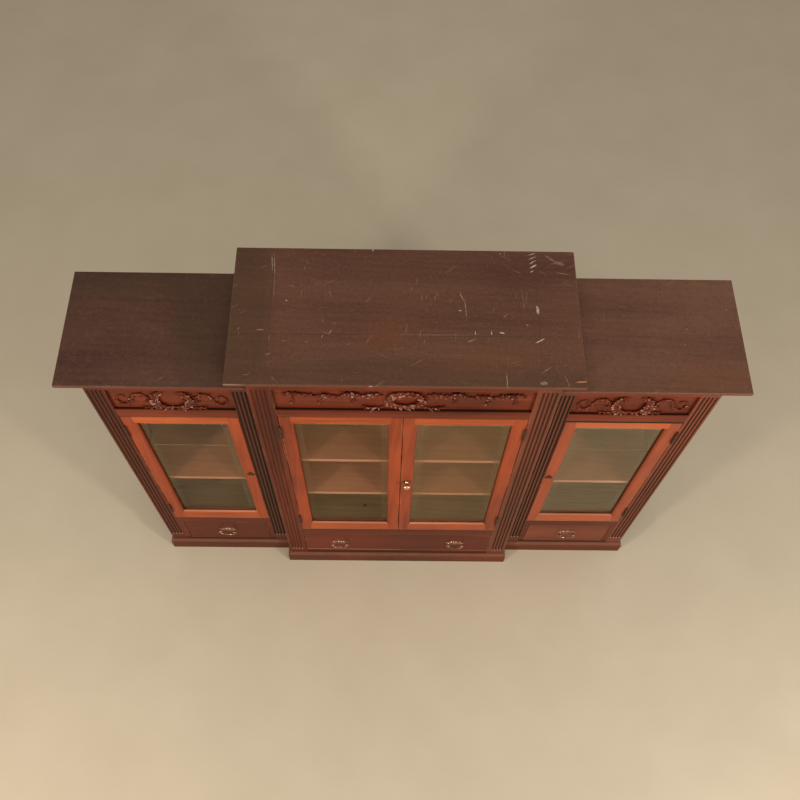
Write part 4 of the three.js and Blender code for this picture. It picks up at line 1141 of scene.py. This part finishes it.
# A rod drawn through a few spots, thicker at the middle and with a bead on each side of it
def bailShape(x, front, z):
    reach = pulls["post"] + pulls["shoulder"]
    end = pulls["post"] + pulls["eyeGap"] + pulls["ball"] * pulls["eyeShare"]
    rightHalf = [*[(a * reach, -b * pulls["drop"]) for a, b in pulls["bail"][::-1]],
                 ((end + reach) / 2, 0), (end, 0)]
    run = [(-a, b) for a, b in rightHalf[:0:-1]] + rightHalf
    y = front - pulls["thick"] - pulls["reach"]
    line = smoothLine([(x + a, y, z + b) for a, b in run], 6)
    rings = []
    (swellReach, swell), (beadPlace, beadSwell) = pulls["middleSwell"], pulls["beadSwell"]
    for i, p in enumerate(line):
        middle = 1 - min(abs(p.x - x) / (reach * swellReach), 1)
        bead = exp(-((abs(p.x - x) - reach * beadPlace) / pulls["bead"]) ** 2)
        bead *= (z - p.z) / pulls["drop"] > 0.7
        girth = pulls["rod"] * (pulls["rodShare"] + swell * middle ** 2 + beadSwell * bead)
        way = (line[min(i + 1, len(line) - 1)] - line[max(i - 1, 0)]).normalized()
        across = way.cross(Vector((0, 1, 0))).normalized()
        lift = across.cross(way).normalized()
        rings.append([p + girth * (across * cos(a) + lift * sin(a))
                      for a in wholeTurn(16)])
    return Shape().loft(rings)


for name, place in doorPlaces.items():
    bay = name.split("_")[0]
    x, z = pulls["centre" if bay == "centre" else "wing"]
    spot = (place["hand"] * x, place["front"], z)
    makePiece(f"{camel(name)}PullPlate", pullPlateShape(*spot), [oldBrass],
              f"pull_plate_{name}", crease=50)
    makePiece(f"{camel(name)}Bail", bailShape(*spot), [oldBrass], f"bail_{name}",
              crease=60)

# Knob, rose and keyhole plates
knob = {**metres({"x": 22.75, "z": 869, "radius": 12.5, "reach": 26, "rose": 13,
                  "roseThick": 2.5, "fit": 0.3, "plateEase": 0.35}),
        "shares": [(0.5, 0), (0.34, 0.12), (0.3, 0.3), (0.52, 0.42), (0.9, 0.56), (1, 0.7),
                   (0.9, 0.85), (0.55, 0.96), (0, 1)]}
profile = [(max(p.x, 0) * knob["radius"], p.y * knob["reach"])
           for p in smoothLine([(r, h, 0) for r, h in knob["shares"]], 5)]
profile[-1] = (0, knob["reach"])
thick = knob["roseThick"]
makePiece("knobGrip", Shape().turned(profile, (knob["x"], tall - thick - knob["fit"], knob["z"]),
                                     outward, 40), [knobBrass], "knob", crease=60)
rose = [(knob["rose"], 0), *arc((knob["rose"] - thick, 0), (thick, thick), 0, 90, 8), (0, thick)]
makePiece("knobRosePlate", Shape().turned(rose, (knob["x"], tall, knob["z"]), outward, 40),
          [plateIron], "knob_rose", crease=60)
for side in sides:
    node = f"keyhole_plate_{side}"
    makePiece(f"{side}KeyholePlate", nodeShape(node), [plateIron], node,
              knob["plateEase"])
print("pulls, knob and plates made")

# Studio: a pale floor, two low soft lights in front, one overhead and a pale surround
studio = {"floor": 14.0, "sky": (1.0, 0.97, 0.92), "skyPower": 0.42}
# For each lamp its place, aim, size, power and tone
lamps = {"leftLamp": ((-3.0, -2.9, 1.75), (0.2, 0, 0.8), 0.42, 96.0, (1.0, 0.955, 0.88)),
         "rightLamp": ((3.0, -2.9, 1.75), (-0.2, 0, 0.8), 0.42, 104.0, (1.0, 0.98, 0.97)),
         "overheadLamp": ((0.0, -1.2, 5.2), (0, 0, 0.6), 3.0, 60.0, (1.0, 0.97, 0.92))}
reach = studio["floor"] / 2
corners = [(-reach, -reach, 0), (reach, -reach, 0), (reach, reach, 0), (-reach, reach, 0)]
floor = linked("studioFloor", meshOf("studioFloor", corners, [], [(0, 1, 2, 3)]))
s = Surface("paleFloor")
speck = s.noise(3.0, 4.0, 0.6)
floor.data.materials.append(s.finish(s.mix(speck, (186, 169, 142), (200, 184, 158)),
                                     speck * 0.1 + 0.55))
for name, (spot, aim, size, power, tone) in lamps.items():
    light = bpy.data.lights.new(name, "AREA")
    configured(light, energy=power, size=size, color=tone)
    way = Vector(aim) - Vector(spot)
    configured(linked(name, light), location=spot, visible_camera=False,
               rotation_euler=way.to_track_quat("-Z", "Y").to_euler())
world = bpy.data.worlds.new("studioSurround")
world.use_nodes = True
backdrop = world.node_tree.nodes["Background"]
backdrop.inputs["Color"].default_value = (*studio["sky"], 1)
backdrop.inputs["Strength"].default_value = studio["skyPower"]
bpy.context.scene.world = world
bpy.context.scene.view_settings.view_transform = "Standard"
print("studio ready")
